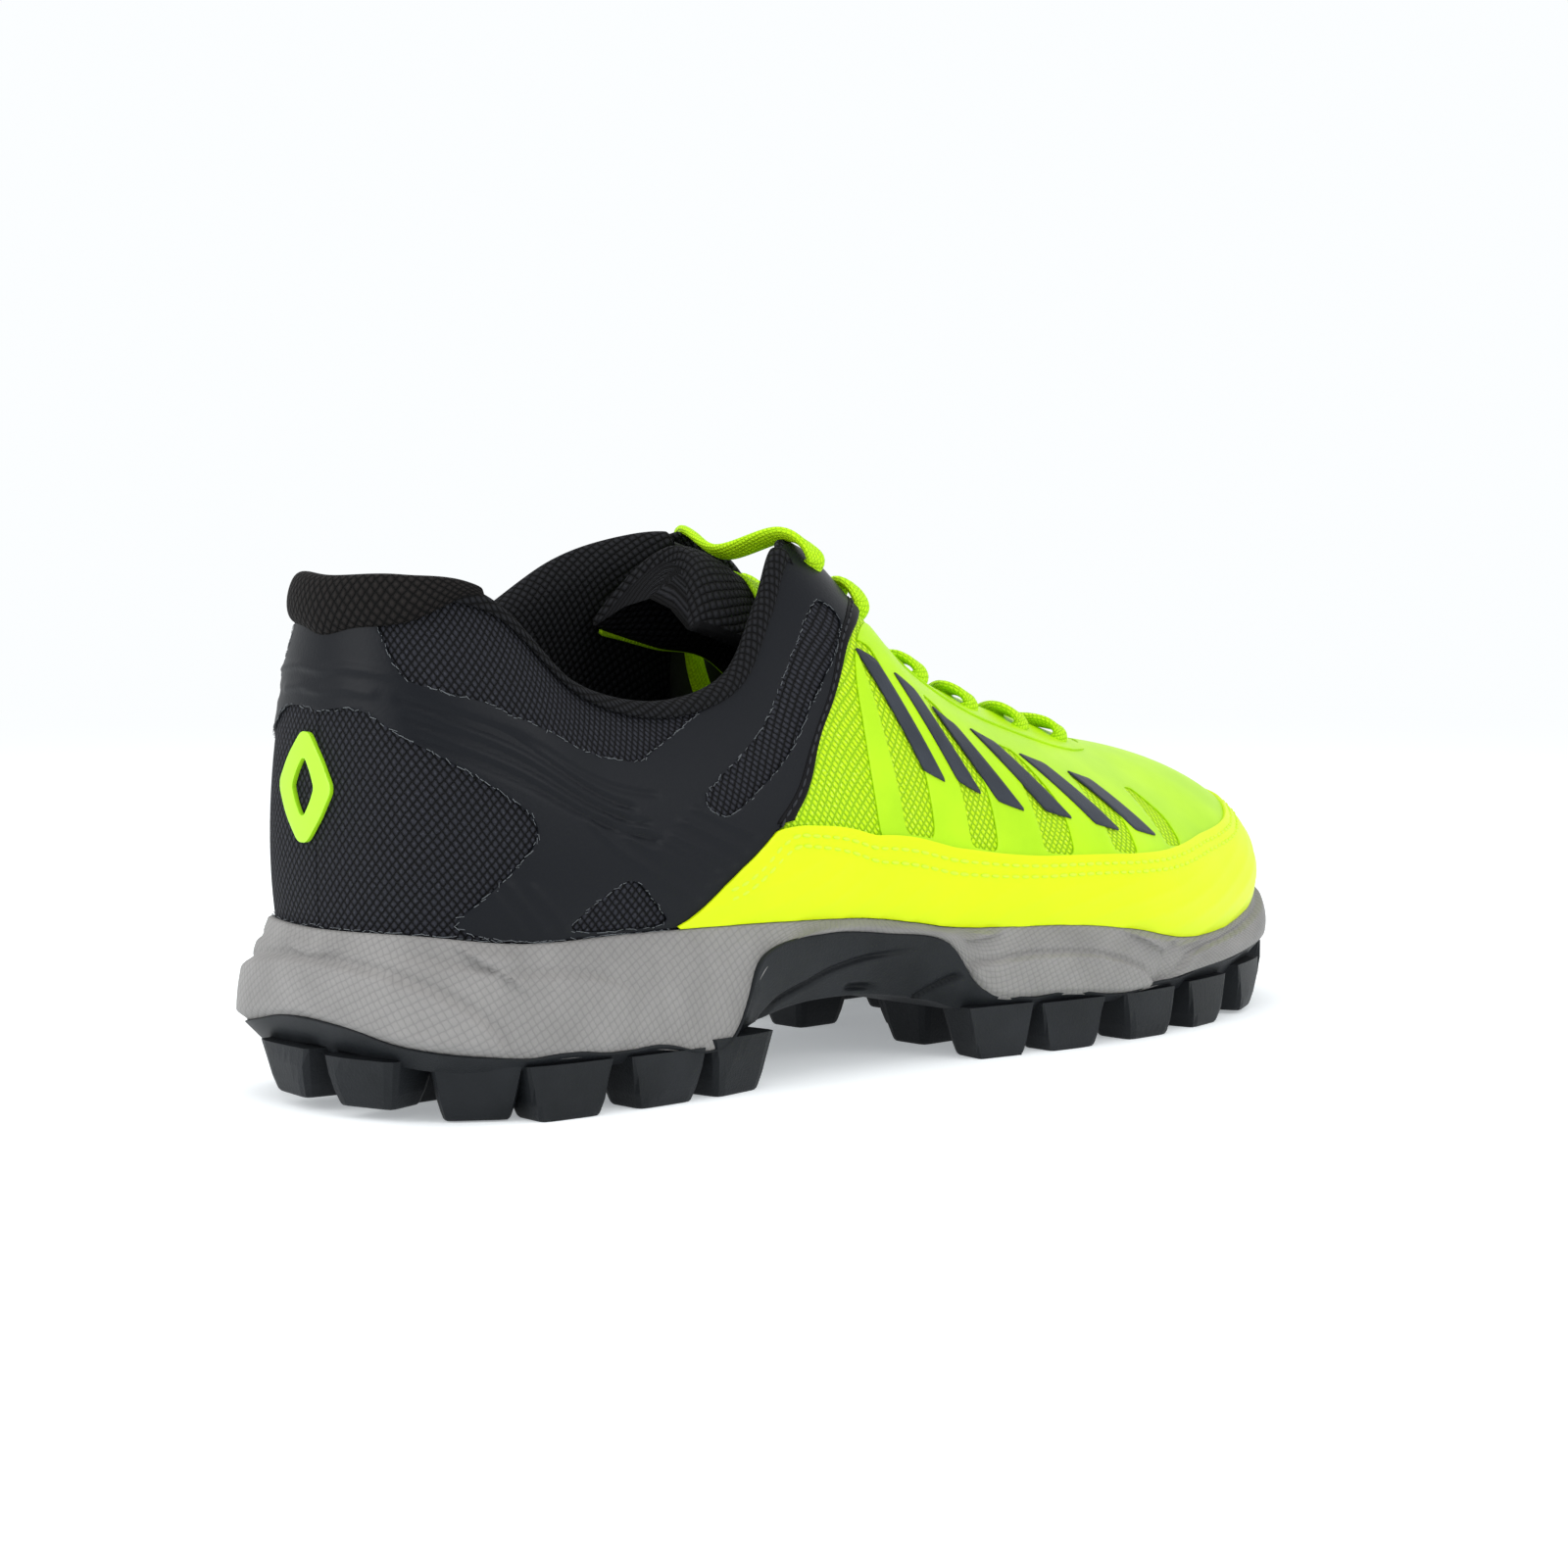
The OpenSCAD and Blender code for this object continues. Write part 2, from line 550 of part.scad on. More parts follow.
// Rows of lace holes from the toe end up, on the right side: where the lace lies over the hole, over the edge
// of the throat, under the hole and under the edge. The left side mirrors them: [distance, sideways, height].
over_hole = [[197, 16.5, 65], [182, 18.5, 68.2], [165, 19, 73.3], [149.5, 19, 80.4], [131.8, 18.6, 95.4], [117.5, 19.3, 105]];
over_edge = [[194.5, 12, 67.5], [180.5, 13.5, 71], [163.5, 13.8, 76.2], [148, 13.6, 83.5], [130.5, 13.8, 99.7], [113, 14.8, 110.2]];
under_hole = [[195.5, 14.5, 60], [180.5, 16.2, 63.3], [163.5, 16.8, 68.4], [147, 16.8, 75.9], [128.1, 16.3, 91.9], [116.3, 15.6, 101]];
under_edge = [[193, 10, 62.3], [179, 11.5, 66], [162, 11.9, 71.2], [145.2, 12, 79], [126.4, 12.1, 96.3], [114.7, 12, 105.8]];
// Where the two strands cross between the rows, for the lower strand: [distance, height]
crossing = [[187, 65.8], [171.5, 70.4], [155, 76.8], [138.5, 87]];
top_bar = [109, 0, 106.4];
low_bar = [190.5, 0, 67.2];
// Loose ends, put away inside along the inner side
long_tail = [
    [117.5, 18, 96], [120, 21.5, 88], [125, 24.5, 78], [133, 27, 68], [145, 29, 60], [160, 30, 54], [176, 29.5, 50]
];
short_tail = [[131, 20.5, 86], [137, 23, 77], [146, 24.5, 69], [158, 25, 62.5], [172, 24, 57], [186, 22.5, 53]];
function to_side(q, side) = [q.x, side * q.y, q.z];
// One strand: down through row i, under the edge, across and over the edge into the next row on the other side
function pass(i, side, lift) = [
    to_side(under_hole[i], side), to_side(under_edge[i], side),
    [crossing[i][0], 0, crossing[i][1] + lift],
    to_side(over_edge[i + 1], -side), to_side(over_hole[i + 1], -side)
];
strand_a = concat(
    pass(0, -1, 0), pass(1, 1, 2), pass(2, -1, 0), pass(3, 1, 2),
    [to_side(under_hole[4], -1), [122, -15.5, 97], to_side(under_hole[5], -1)],
    [to_side(over_hole[5], -1), to_side(over_edge[5], -1), top_bar, to_side(over_edge[5], 1)],
    [to_side(over_hole[5], 1), to_side(under_hole[5], 1)],
    long_tail
);
strand_b = concat(
    pass(0, 1, 2), pass(1, -1, 0), pass(2, 1, 2), pass(3, -1, 0), [to_side(under_hole[4], 1)], short_tail
);
lace_route = concat(
    backwards(strand_b),
    [to_side(over_hole[0], 1), to_side(over_edge[0], 1), low_bar, to_side(over_edge[0], -1), to_side(over_hole[0], -1)],
    strand_a
);
// Direction that the flat of the lace faces along: the line of the throat, and across it in the tails
throat_line = unit([0.86, 0, -0.5]);
tail_line = [0.6, 0, 0.8];
lace_oval = [
    [0.5, 0.18], [0.34, 0.5], [-0.34, 0.5], [-0.5, 0.18], [-0.5, -0.18], [-0.34, -0.5], [0.34, -0.5], [0.5, -0.18]
];
function lace_place(q) = [
    (q.x + centre.x) * shoe_length / last_length, q.y * width_factor + centre.y, q.z
];
lace_points = [for (q = lace_route) lace_place(q)];
function lace_run(i) =
    unit(lace_points[min(i + 1, len(lace_points) - 1)] - lace_points[max(i - 1, 0)]);
module lace() {
    last = len(lace_points) - 1;
    color("#c8ec2c")
        loft([
            for (i = [0:last])
                let (
                    t = lace_run(i),
                    tail = i < len(short_tail) - 1 || i > last - len(long_tail) + 1,
                    ref = tail ? tail_line : throat_line,
                    wide = unit(ref - t * (ref * t)),
                    thick = cross(t, wide)
                )
                [for (o = lace_oval) lace_points[i] + wide * o[0] * lace_w + thick * o[1] * lace_t]
        ], true);
}
// A plastic tip on each end of the lace
module aglets() {
    tip_l = 18;
    tip_r = 1.5;
    last = len(lace_points) - 1;
    color("#b9d92c")
        for (i = [0, last])
            let (t = lace_run(i) * (i == 0 ? -1 : 1))
            translate(lace_points[i])
                rotate([0, acos(t.z), atan2(t.y, t.x)])
                    cylinder(h = tip_l, r = tip_r, $fn = 32);
}

outsole();
midsole();
strobel_board();
insole();
heel_counter();
toe_puff();
quarter_right();
quarter_left();
vamp();
vamp_lining();
collar_foam();
collar_lining();
heel_pad();
film_right();
film_left();
vamp_bands_right();
vamp_bands_left();
toe_rand();
eyestay_right();
eyestay_left();
quarter_binding_right();
quarter_binding_left();
side_marks_right();
side_marks_left();
heel_emblem();
tongue_cover();
tongue_foam();
tongue_lining();
lace();
aglets();
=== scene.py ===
import math

import bmesh
import bpy
import numpy as np
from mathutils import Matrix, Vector, geometry
from numpy.linalg import norm


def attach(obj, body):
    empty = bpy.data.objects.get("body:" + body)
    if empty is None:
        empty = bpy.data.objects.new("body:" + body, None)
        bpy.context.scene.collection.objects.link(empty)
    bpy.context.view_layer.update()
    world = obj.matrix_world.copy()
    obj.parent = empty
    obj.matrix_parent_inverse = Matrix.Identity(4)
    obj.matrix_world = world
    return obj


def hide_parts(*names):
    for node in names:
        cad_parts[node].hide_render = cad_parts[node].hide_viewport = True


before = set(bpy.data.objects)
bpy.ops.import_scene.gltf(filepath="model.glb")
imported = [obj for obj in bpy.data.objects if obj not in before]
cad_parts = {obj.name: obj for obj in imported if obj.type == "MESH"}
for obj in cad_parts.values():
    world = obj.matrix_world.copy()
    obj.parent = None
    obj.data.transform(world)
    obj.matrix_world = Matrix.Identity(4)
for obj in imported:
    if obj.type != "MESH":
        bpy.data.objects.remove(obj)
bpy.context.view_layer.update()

# ---- Camera
# It stands low behind the outer side of the heel, level with the collar, a little under a metre away.
camera_place = (-0.5608, -0.5731, 0.1236)
camera_azimuth, camera_elevation = -44.03, 4.82


def add_object(name, data):
    """A new object at the origin, put into the scene."""
    thing = bpy.data.objects.new(name, data)
    bpy.context.scene.collection.objects.link(thing)
    return thing


lens = bpy.data.cameras.new("product_camera")
lens.lens, lens.sensor_width, lens.clip_start, lens.clip_end = 85.5, 36.0, 0.02, 40.0
product_camera = add_object("product_camera", lens)
product_camera.location = camera_place
product_camera.rotation_euler = (math.radians(90 - camera_elevation), 0, math.radians(camera_azimuth))
bpy.context.scene.camera = product_camera

# ---- White studio table and lights
# A pale round table top that sweeps up into a white wall all the way round, lit by a wide soft box overhead,
# one by the heel and one on the outer side. The wall glows, so that dark rubber and film get soft reflections.
bpy.context.scene.view_settings.view_transform = "Standard"
table_radius, wall_radius, wall_height = 1.0, 2.6, 3.0
sweep_radius = wall_radius - table_radius
sweep = [(table_radius * k / 8, 0.0) for k in range(9)]
sweep += [(table_radius + sweep_radius * math.sin(a), sweep_radius * (1 - math.cos(a)))
          for a in np.linspace(0.08, math.pi / 2, 14)]
sweep += [(wall_radius, wall_height)]
studio = bmesh.new()
profile = [studio.verts.new((r, 0, h)) for r, h in sweep]
edges = [studio.edges.new(pair) for pair in zip(profile, profile[1:])]
bmesh.ops.spin(studio, geom=profile + edges, cent=(0, 0, 0), axis=(0, 0, 1), angle=2 * math.pi, steps=72)
bmesh.ops.remove_doubles(studio, verts=studio.verts, dist=1e-5)
bmesh.ops.recalc_face_normals(studio, faces=studio.faces)
table_mesh = bpy.data.meshes.new("studio_table")
studio.to_mesh(table_mesh)
studio.free()
add_object("studio_table", table_mesh)


def smooth_all(mesh):
    for polygon in mesh.polygons:
        polygon.use_smooth = True


def add_node(nodes, kind, **settings):
    """A shader node with its sockets and settings given by name, blanks as underscores."""
    node = nodes.new("ShaderNode" + kind)
    for key, value in settings.items():
        socket = key.replace("_", " ")
        if socket in node.inputs:
            node.inputs[socket].default_value = value
        else:
            setattr(node, key, value)
    return node


def join(links, *wires):
    """Wires, each given as the node and output it leaves and the node and input it enters."""
    for start, out_socket, end, in_socket in wires:
        links.new(start.outputs[out_socket], end.inputs[in_socket])


smooth_all(table_mesh)
paper = bpy.data.materials.new("studio_paper")
paper.use_nodes = True
nodes = paper.node_tree.nodes
nodes.clear()
paper_out, lit_paper, paper_mix = (add_node(nodes, kind) for kind in ("OutputMaterial", "AddShader", "MixShader"))
matt_paper = add_node(nodes, "BsdfDiffuse", Color=(0.80, 0.82, 0.83, 1))
wall_glow = add_node(nodes, "Emission", Color=(0.97, 0.99, 1.0, 1), Strength=1.0)
faint_glow = add_node(nodes, "Emission", Color=(0.93, 0.97, 1.0, 1), Strength=0.34)
paper_place, from_middle = add_node(nodes, "TexCoord"), add_node(nodes, "VectorMath", operation="LENGTH")
fade = add_node(nodes, "MapRange", interpolation_type="SMOOTHSTEP", From_Min=0.35, From_Max=1.1)
join(paper.node_tree.links, (paper_place, "Object", from_middle, 0), (from_middle, "Value", fade, "Value"),
     (matt_paper, 0, lit_paper, 0), (faint_glow, 0, lit_paper, 1), (fade, "Result", paper_mix, "Fac"),
     (lit_paper, 0, paper_mix, 1), (wall_glow, 0, paper_mix, 2), (paper_mix, 0, paper_out, "Surface"))
table_mesh.materials.append(paper)

sky = bpy.data.worlds.new("studio_air")
sky.use_nodes = True
background = sky.node_tree.nodes["Background"].inputs
background["Color"].default_value, background["Strength"].default_value = (1, 1, 1, 1), 0.4
bpy.context.scene.world = sky
above_table = (0, 0, 0.05)
for name, place, size, power in (("overhead_box", (-0.2, -0.1, 1.1), (1.2, 0.9), 7.5),
                                 ("heel_box", (-1.1, 0.35, 0.5), (0.5, 0.9), 5.5),
                                 ("side_box", (0.25, -1.2, 0.55), (0.8, 0.6), 4.2)):
    panel = bpy.data.lights.new(name, "AREA")
    panel.shape, panel.size, panel.size_y, panel.energy = "RECTANGLE", *size, power
    stand = add_object(name, panel)
    stand.location = place
    stand.rotation_euler = (Vector(above_table) - Vector(place)).to_track_quat("-Z", "Y").to_euler()

# ---- Outsole
# One black rubber moulding: a thin plate with a raised rim, studs that taper to bevelled tips, and a wing on
# each side that wraps up the arch. It is cured in a mould and glued under the foam.
mm = 0.001
middle = np.array([-133.5, 0.5, 0.0]) * mm
foot_rail = np.array([
    [3, 0, 35.5], [9, 22.5, 35.5], [27, 32, 33.3], [50, 35, 33.5], [76, 35.5, 33.2], [98, 35.5, 32.5],
    [112, 36, 31.7], [124, 37.2, 30], [136, 39, 28], [150, 42, 27.2], [168, 45, 26.3], [187, 46, 23.8],
    [206, 45, 20.2], [226, 41, 20.5], [246, 33, 24], [259, 20, 28.5], [264, 0, 30]]) * mm
seam_rail = np.array([
    [0, 0, 18.5], [5, 26.5, 14.7], [25, 38, 12], [50, 40.5, 11.6], [71, 40.3, 10.5], [81, 39.2, 27],
    [98, 38.5, 30], [116, 39, 28.5], [133, 40.3, 25.2], [144, 42.5, 13.2], [165, 46.3, 11.8],
    [185, 48.4, 10.5], [206, 47.5, 12.6], [227, 43.8, 14], [248, 35.3, 15.8], [263, 20, 18], [269, 0, 20]
    ]) * mm
tread_rail = np.array([
    [3, 0, 13], [8, 24.5, 10.5], [26, 35.5, 9.3], [50, 37.5, 9], [71, 37, 9], [83, 33.5, 13],
    [98, 32, 15.5], [116, 32.5, 15.5], [132, 35, 13], [144, 39.5, 9.5], [165, 43.5, 9],
    [185, 45.5, 8.8], [206, 44.5, 9], [226, 40.5, 9.3], [246, 32, 11], [259, 18, 14], [264.5, 0, 16.5]]) * mm
foot_bend = np.array([0, 0, 0, -0.5, -2, -3, -3.2, -3, -2.5, -2, -1.5, -1, 0, 1, 2, 2.5, 2.5]) * mm
plate_t = 2.4 * mm
half_lap, whole_lap = 16, 32


def through(knots, i, f):
    """Smooth curve through evenly spaced knots, at share f of the way past knot i."""
    a, b, c, d = (knots[i + k] for k in range(4))
    return 0.5 * (2 * b + (c - a) * f + (2 * a - 5 * b + 4 * c - d) * f ** 2 + (3 * b - a - 3 * c + d) * f ** 3)


def along(rail, u):
    """Point or value on a rail at station u, 0 at the heel to 16 at the toe, mirrored past both ends."""
    ends = np.array([1.0, -1.0, 1.0]) if rail.ndim == 2 else 1.0
    knots = np.concatenate([[rail[1] * ends], rail, [rail[-2] * ends]])
    i = np.clip(np.floor(u).astype(int), 0, half_lap - 1)
    f = u - i
    return through(knots, i, f[..., None] if rail.ndim == 2 else f)


def lap_station(p):
    """Station of lap p, which runs from the heel along the right side to the toe and back along the left."""
    return np.where(p < 0, -p, np.where(p > half_lap, whole_lap - p, p))


def lap_side(p):
    return np.where((p < 0) | (p > half_lap), 1.0, -1.0)


def placed(r, bend, side, rise=0.0):
    return np.stack([r[..., 0], bend + side * r[..., 1], r[..., 2] + rise], -1) + middle


def plan_point(rail, p, inset, lift=0.0):
    """Point on a rail at lap p, moved in square to it and up."""
    u, side, step = lap_station(p), lap_side(p), 0.02
    a, b, r = along(rail, np.abs(u - step)), along(rail, u + step), along(rail, u)
    a[..., 1] = np.where(u < step, -a[..., 1], a[..., 1])
    b[..., 1] = np.where(u + step > half_lap, -np.abs(b[..., 1]), b[..., 1])
    inward = np.stack([b[..., 1] - a[..., 1], a[..., 0] - b[..., 0]], -1)
    inward /= norm(inward, axis=-1, keepdims=True)
    moved = np.concatenate([r[..., :2] + inward * inset, r[..., 2:] + lift], -1)
    return placed(moved, along(foot_bend, u), side)


def sole_line(rail, p, inset, lift=0.0, share=1.0):
    """The same, drawn in towards the middle line of the sole."""
    here, there = plan_point(rail, p, inset, lift), plan_point(rail, -p % whole_lap, inset, lift)
    centre = (here + there) / 2
    return centre + (here - centre) * share


def as_mesh(name, points, faces, uv=None, smooth=True):
    """An object from points and faces, with a map of its cloth in millimetres where it has one."""
    mesh = bpy.data.meshes.new(name)
    mesh.from_pydata([tuple(q) for q in points], [], [tuple(int(i) for i in f) for f in faces])
    if uv is not None:
        layer = mesh.uv_layers.new(name="cloth")
        index = np.empty(len(mesh.loops), int)
        mesh.loops.foreach_get("vertex_index", index)
        layer.data.foreach_set("uv", np.asarray(uv, np.float32)[index].ravel())
    mesh.polygons.foreach_set("use_smooth", [smooth] * len(mesh.polygons))
    return add_object(name, mesh)


def ring_faces(columns, rows):
    """Faces of a skin whose columns go all the way round, each a row of points from one edge to the other."""
    c, r = np.meshgrid(np.arange(columns), np.arange(rows - 1), indexing="ij")
    a, b = c * rows + r, ((c + 1) % columns) * rows + r
    return np.stack([a, b, b + 1, a + 1], -1).reshape(-1, 4)


def turn_out(piece, merge=False):
    """Turn all faces outwards, after merging the points that meet."""
    mesh = bmesh.new()
    mesh.from_mesh(piece.data)
    if merge:
        bmesh.ops.remove_doubles(mesh, verts=mesh.verts, dist=1e-6)
        bmesh.ops.dissolve_degenerate(mesh, edges=mesh.edges, dist=1e-6)
    bmesh.ops.recalc_face_normals(mesh, faces=mesh.faces)
    mesh.to_mesh(piece.data)
    mesh.free()


laps = np.arange(0, whole_lap, 0.05)
studs = [
    [7, 8, 80, 13], [8, -12, -75, 13], [19, 25, 35, 13], [20, -26, -35, 13], [24, 0, 0, 12],
    [36, 35, 5, 12], [33, -35, -5, 14], [41, 14, 0, 12], [41, -15, 0, 12], [58, 36, 0, 13], [56, -36, 0, 14],
    [60, 0, 0, 12], [76, 34, -8, 12], [75, -35.5, 8, 13], [74, 16, 0, 11], [74, -17, 0, 11],
    [146, 40, 8, 12], [148, -41.5, -10, 12], [151, 18, 0, 12], [153, -18, 0, 12], [168, 43, 0, 13],
    [167, -44, 0, 13], [169, 0, 0, 12], [186, 22, 0, 12], [186, -22, 0, 12], [189, 43, 0, 13],
    [191, -44, 0, 13], [204, 0, 0, 12], [210, 40, -12, 13], [213, -41, 12, 12], [221, 20, 0, 12],
    [222, -19, 0, 12], [231, 34, -28, 13], [235, -34, 28, 12], [239, 1, 0, 12], [250, 22, -48, 12],
    [253, -21, 48, 11], [261, 3, 88, 12]]
tip_line = np.array([[0, 3.6], [8, 2.4], [22, 0], [215, 0], [235, 0.8], [250, 2.4], [262, 5], [270, 8]])
stud_tip, stud_flare = 10.0, 5.0
rim_outline = plan_point(seam_rail, laps, 0.0)[:, :2]
edge_studs = np.array([s[:2] for s in studs if abs(s[1]) > 30 or s[0] < 30 or s[0] > 245], float) * mm
# The rubber rim stands a little higher over each stud on the edge.
stud_reach = norm(rim_outline[:, None] - (edge_studs + middle[:2])[None], axis=-1).min(1)
wing = np.clip((plan_point(seam_rail, laps, 0)[:, 2] - 0.0165) / 0.004, 0, 1)
rim_wave = 0.0011 * np.exp(-(stud_reach / 0.0075) ** 4) * (1 - wing)


def arch_groove(u, share):
    """Depth of the slanted grooves and the small slot moulded into the wing."""
    groove_depth, slot_depth = 0.0019, 0.0020
    line = np.interp(u, [5.0, 5.4, 5.9, 6.2, 6.84, 7.6, 8.0], [1.05, 0.82, 0.70, 0.57, 0.35, 0.18, 0.05])
    front = np.interp(u, [7.8, 8.12, 8.45], [1.0, 0.63, 0.19])
    deep = np.exp(-((share - line) / 0.05) ** 2) * (u > 4.9) * (u < 8.0)
    deep = np.maximum(deep, np.exp(-((share - front) / 0.07) ** 2) * (u > 7.8) * (u < 8.5))
    slot = np.exp(-(((u - 6.85) / 0.2) ** 4 + ((share - 0.86) / 0.06) ** 4))
    shallow_ends = np.clip((share - 0.2) / 0.18, 0, 1) * np.clip((u - 5.05) / 0.3, 0, 1)
    return groove_depth * deep * shallow_ends + slot_depth * slot


plate_columns, wing_bulge = [], 0.0010
top, low = plan_point(seam_rail, laps, -0.0007), plan_point(tread_rail, laps, -0.0002)
top[:, 2] += rim_wave
outward = (plan_point(seam_rail, laps, -0.001) - plan_point(seam_rail, laps, 0)) / 0.001
for share in np.linspace(0, 1, 41):
    push = (wing_bulge * np.sin(np.pi * share) - arch_groove(lap_station(laps), share)) * wing
    plate_columns.append(top * (1 - share) + low * share + outward * push[:, None])
inner_rim = np.stack([plan_point(seam_rail, laps, 0.0012), plan_point(seam_rail, laps, -0.0002)], 1)
inner_rim[..., 2] += rim_wave[:, None] + np.array([-0.0002, 0.0003])
underside = [sole_line(tread_rail, laps, 0.0006, -0.0002, s) for s in (1, 0.8, 0.6, 0.4, 0.2, 0)]
bedding = [sole_line(tread_rail, laps, plate_t, plate_t, s) for s in (0, 0.5, 1)]
plate_rows = np.concatenate([inner_rim, np.stack([*plate_columns, *underside], 1)], 1)
roof = np.stack([*bedding, plan_point(seam_rail, laps, plate_t, -0.0004)], 1)
plate_rows = np.concatenate([roof, plate_rows], 1)
rubber_plate = as_mesh("rubber_plate", plate_rows.reshape(-1, 3), ring_faces(len(laps), plate_rows.shape[1]))
turn_out(rubber_plate, merge=True)


def stud_points(stud):
    """A tapered block on a grid: rings from root to tip, with a bevel round the tip."""
    s, across, turn, length = stud
    tip = np.interp(s, tip_line[:, 0], tip_line[:, 1]) * mm
    root = np.interp(s, tread_rail[:, 0] / mm, tread_rail[:, 2]) + 0.0016
    levels = [(1.0, root), (0.66, root - 0.35 * (root - tip)), (0.33, root - 0.7 * (root - tip)),
              (0.06, tip + 0.0010), (-0.03, tip + 0.0004), (-0.16, tip), (-0.45, tip)]
    around = np.array([[(f, -1), (1, f), (-f, 1), (-1, -f)][k] for k in range(4)
                       for f in np.linspace(-1, 1, 8)[:-1]], float)
    square = around / (np.abs(around) ** 10).sum(1, keepdims=True) ** 0.1
    a = math.radians(turn)
    spin = np.array([[math.cos(a), -math.sin(a)], [math.sin(a), math.cos(a)]])
    points = []
    for flare, height in levels:
        half = np.array([length + stud_flare * flare, stud_tip + stud_flare * flare]) / 2 * mm
        ring = (square * half) @ spin.T + np.array([s, across]) * mm + middle[:2]
        points.append(np.concatenate([ring, np.full((len(ring), 1), height)], 1))
    points.append(np.append(points[-1][:, :2].mean(0), tip)[None])
    return points


def inside_outline(points, outline):
    """Which points lie inside a flat outline, by counting the edges to one side."""
    x, y = points[:, 0:1], points[:, 1:2]
    x1, y1 = outline[:, 0], outline[:, 1]
    x2, y2 = np.roll(x1, -1), np.roll(y1, -1)
    crosses = ((y1 > y) != (y2 > y)) & (x < (x2 - x1) * (y - y1) / np.where(y2 == y1, 1e-12, y2 - y1) + x1)
    return crosses.sum(1) % 2 == 1


stud_verts, stud_faces = [], []
for stud in studs:
    rings = stud_points(stud)
    count = len(rings[0])
    base = sum(len(v) for v in stud_verts)
    for level in range(len(rings) - 2):
        for k in range(count):
            n = (k + 1) % count
            a, b = base + level * count, base + (level + 1) * count
            stud_faces.append((a + n, a + k, b + k, b + n))
    last = base + (len(rings) - 2) * count
    stud_faces += [(last + (k + 1) % count, last + k, last + count) for k in range(count)]
    stud_faces.append(tuple(base + k for k in range(count)))
    stud_verts.append(np.concatenate(rings))
stud_verts = np.concatenate(stud_verts)
# Studs on the edge are trimmed to the line of the rim.
rim_line = plan_point(seam_rail, np.arange(0, whole_lap, 0.02), -0.0004)[:, :2]
for k in np.nonzero(~inside_outline(stud_verts, rim_line))[0]:
    stud_verts[k, :2] = rim_line[np.argmin(norm(rim_line - stud_verts[k, :2], axis=1))]
rubber_studs = as_mesh("rubber_studs", stud_verts, stud_faces, smooth=False)
edge_round = rubber_studs.modifiers.new("edge_round", "BEVEL")
edge_round.width, edge_round.segments, edge_round.limit_method = 0.0004, 2, "ANGLE"
edge_round.angle_limit = math.radians(35)


def finish(name, **sockets):
    """A principled finish with its even values on the shader's own sockets."""
    material = bpy.data.materials.new(name)
    material.use_nodes = True
    shader = material.node_tree.nodes["Principled BSDF"]
    for socket, value in sockets.items():
        shader.inputs[socket.replace("_", " ")].default_value = value
    return material, material.node_tree.nodes, material.node_tree.links, shader


def ramp(nodes, dark, light, low=0.0, high=1.0):
    """A colour that goes from dark at low to light at high."""
    node = add_node(nodes, "ValToRGB")
    for end, colour, position in zip(node.color_ramp.elements, (dark, light), (low, high)):
        end.color, end.position = (*colour, 1), position
    return node


def coated(name, cloud, grain, bump, tint=None, shine=None, **sockets):
    """Broad clouds, as scale and detail, in the colour or the shine, and a fine grain that stands up."""
    material, nodes, links, shader = finish(name, **sockets)
    place, stand_up = add_node(nodes, "TexCoord"), add_node(nodes, "Bump", Strength=bump[0], Distance=bump[1])
    broad = add_node(nodes, "TexNoise", Scale=cloud[0], Detail=cloud[1])
    fine = add_node(nodes, "TexNoise", Scale=grain[0], Detail=grain[1], Roughness=grain[2])
    join(links, (place, "Object", broad, "Vector"), (place, "Object", fine, "Vector"),
         (fine, "Fac", stand_up, "Height"), (stand_up, "Normal", shader, "Normal"))
    if tint:
        colours = ramp(nodes, *tint)
        join(links, (broad, "Fac", colours, "Fac"), (colours, "Color", shader, "Base Color"))
    if shine:
        spread = add_node(nodes, "MapRange", To_Min=shine[0], To_Max=shine[1])
        join(links, (broad, "Fac", spread, "Value"), (spread, "Result", shader, "Roughness"))
    return material


def grain_rubber(name, dark, light, rough, grain, depth):
    """Moulded rubber: fine sandblast grain from the mould, dust in the low spots, uneven shine."""
    return coated(name, (55.0, 3.0), (grain, 4.0, 0.65), (0.55, depth), (dark, light, 0.35, 0.72),
                  (rough - 0.1, rough + 0.12), Specular_IOR_Level=0.16, Roughness=rough)


outsole_rubber = grain_rubber("outsole_rubber", (0.006, 0.0075, 0.009), (0.016, 0.018, 0.021), 0.48, 1900.0, 0.00025)
for piece in (rubber_plate, rubber_studs):
    piece.data.materials.append(outsole_rubber)
    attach(piece, "shoe")
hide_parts("outsole")

# ---- Midsole
# Grey moulded foam under the whole foot. Its wall has a raised panel round the heel and two on each side of
# the forefoot, a ledge along the top, and a fine fish-scale texture from the mould.
wall_laps = np.linspace(0, whole_lap, 801)
wall_rail = (foot_rail + seam_rail) / 2
heel_panel = [(-0.6, 0.34), (0, 0.33), (0.36, 0.33), (0.78, 0.36), (1.16, 0.46), (1.35, 0.55), (1.5, 0.64),
              (1.63, 0.75), (1.7, 0.9), (1.74, 1.08)]
top_ledge = [(0.5, 0.12), (0.87, 0.16), (1.36, 0.20), (1.76, 0.225), (2.17, 0.24), (2.53, 0.27), (2.7, 0.33),
             (2.83, 0.39), (2.97, 0.48), (3.12, 0.56)]
fore_panel = [(8.42, 1.1), (8.6, 0.72), (8.8, 0.55), (9.05, 0.45), (9.4, 0.39), (10.3, 0.41), (10.7, 0.48),
              (11.05, 0.62), (11.25, 0.85), (11.3, 1.1)]
toe_panel = [(11.66, 1.1), (11.75, 0.8), (11.95, 0.45), (12.4, 0.28), (12.9, 0.22), (13.6, 0.2), (15, 0.2), (16, 0.2),
             (16.6, 0.2)]
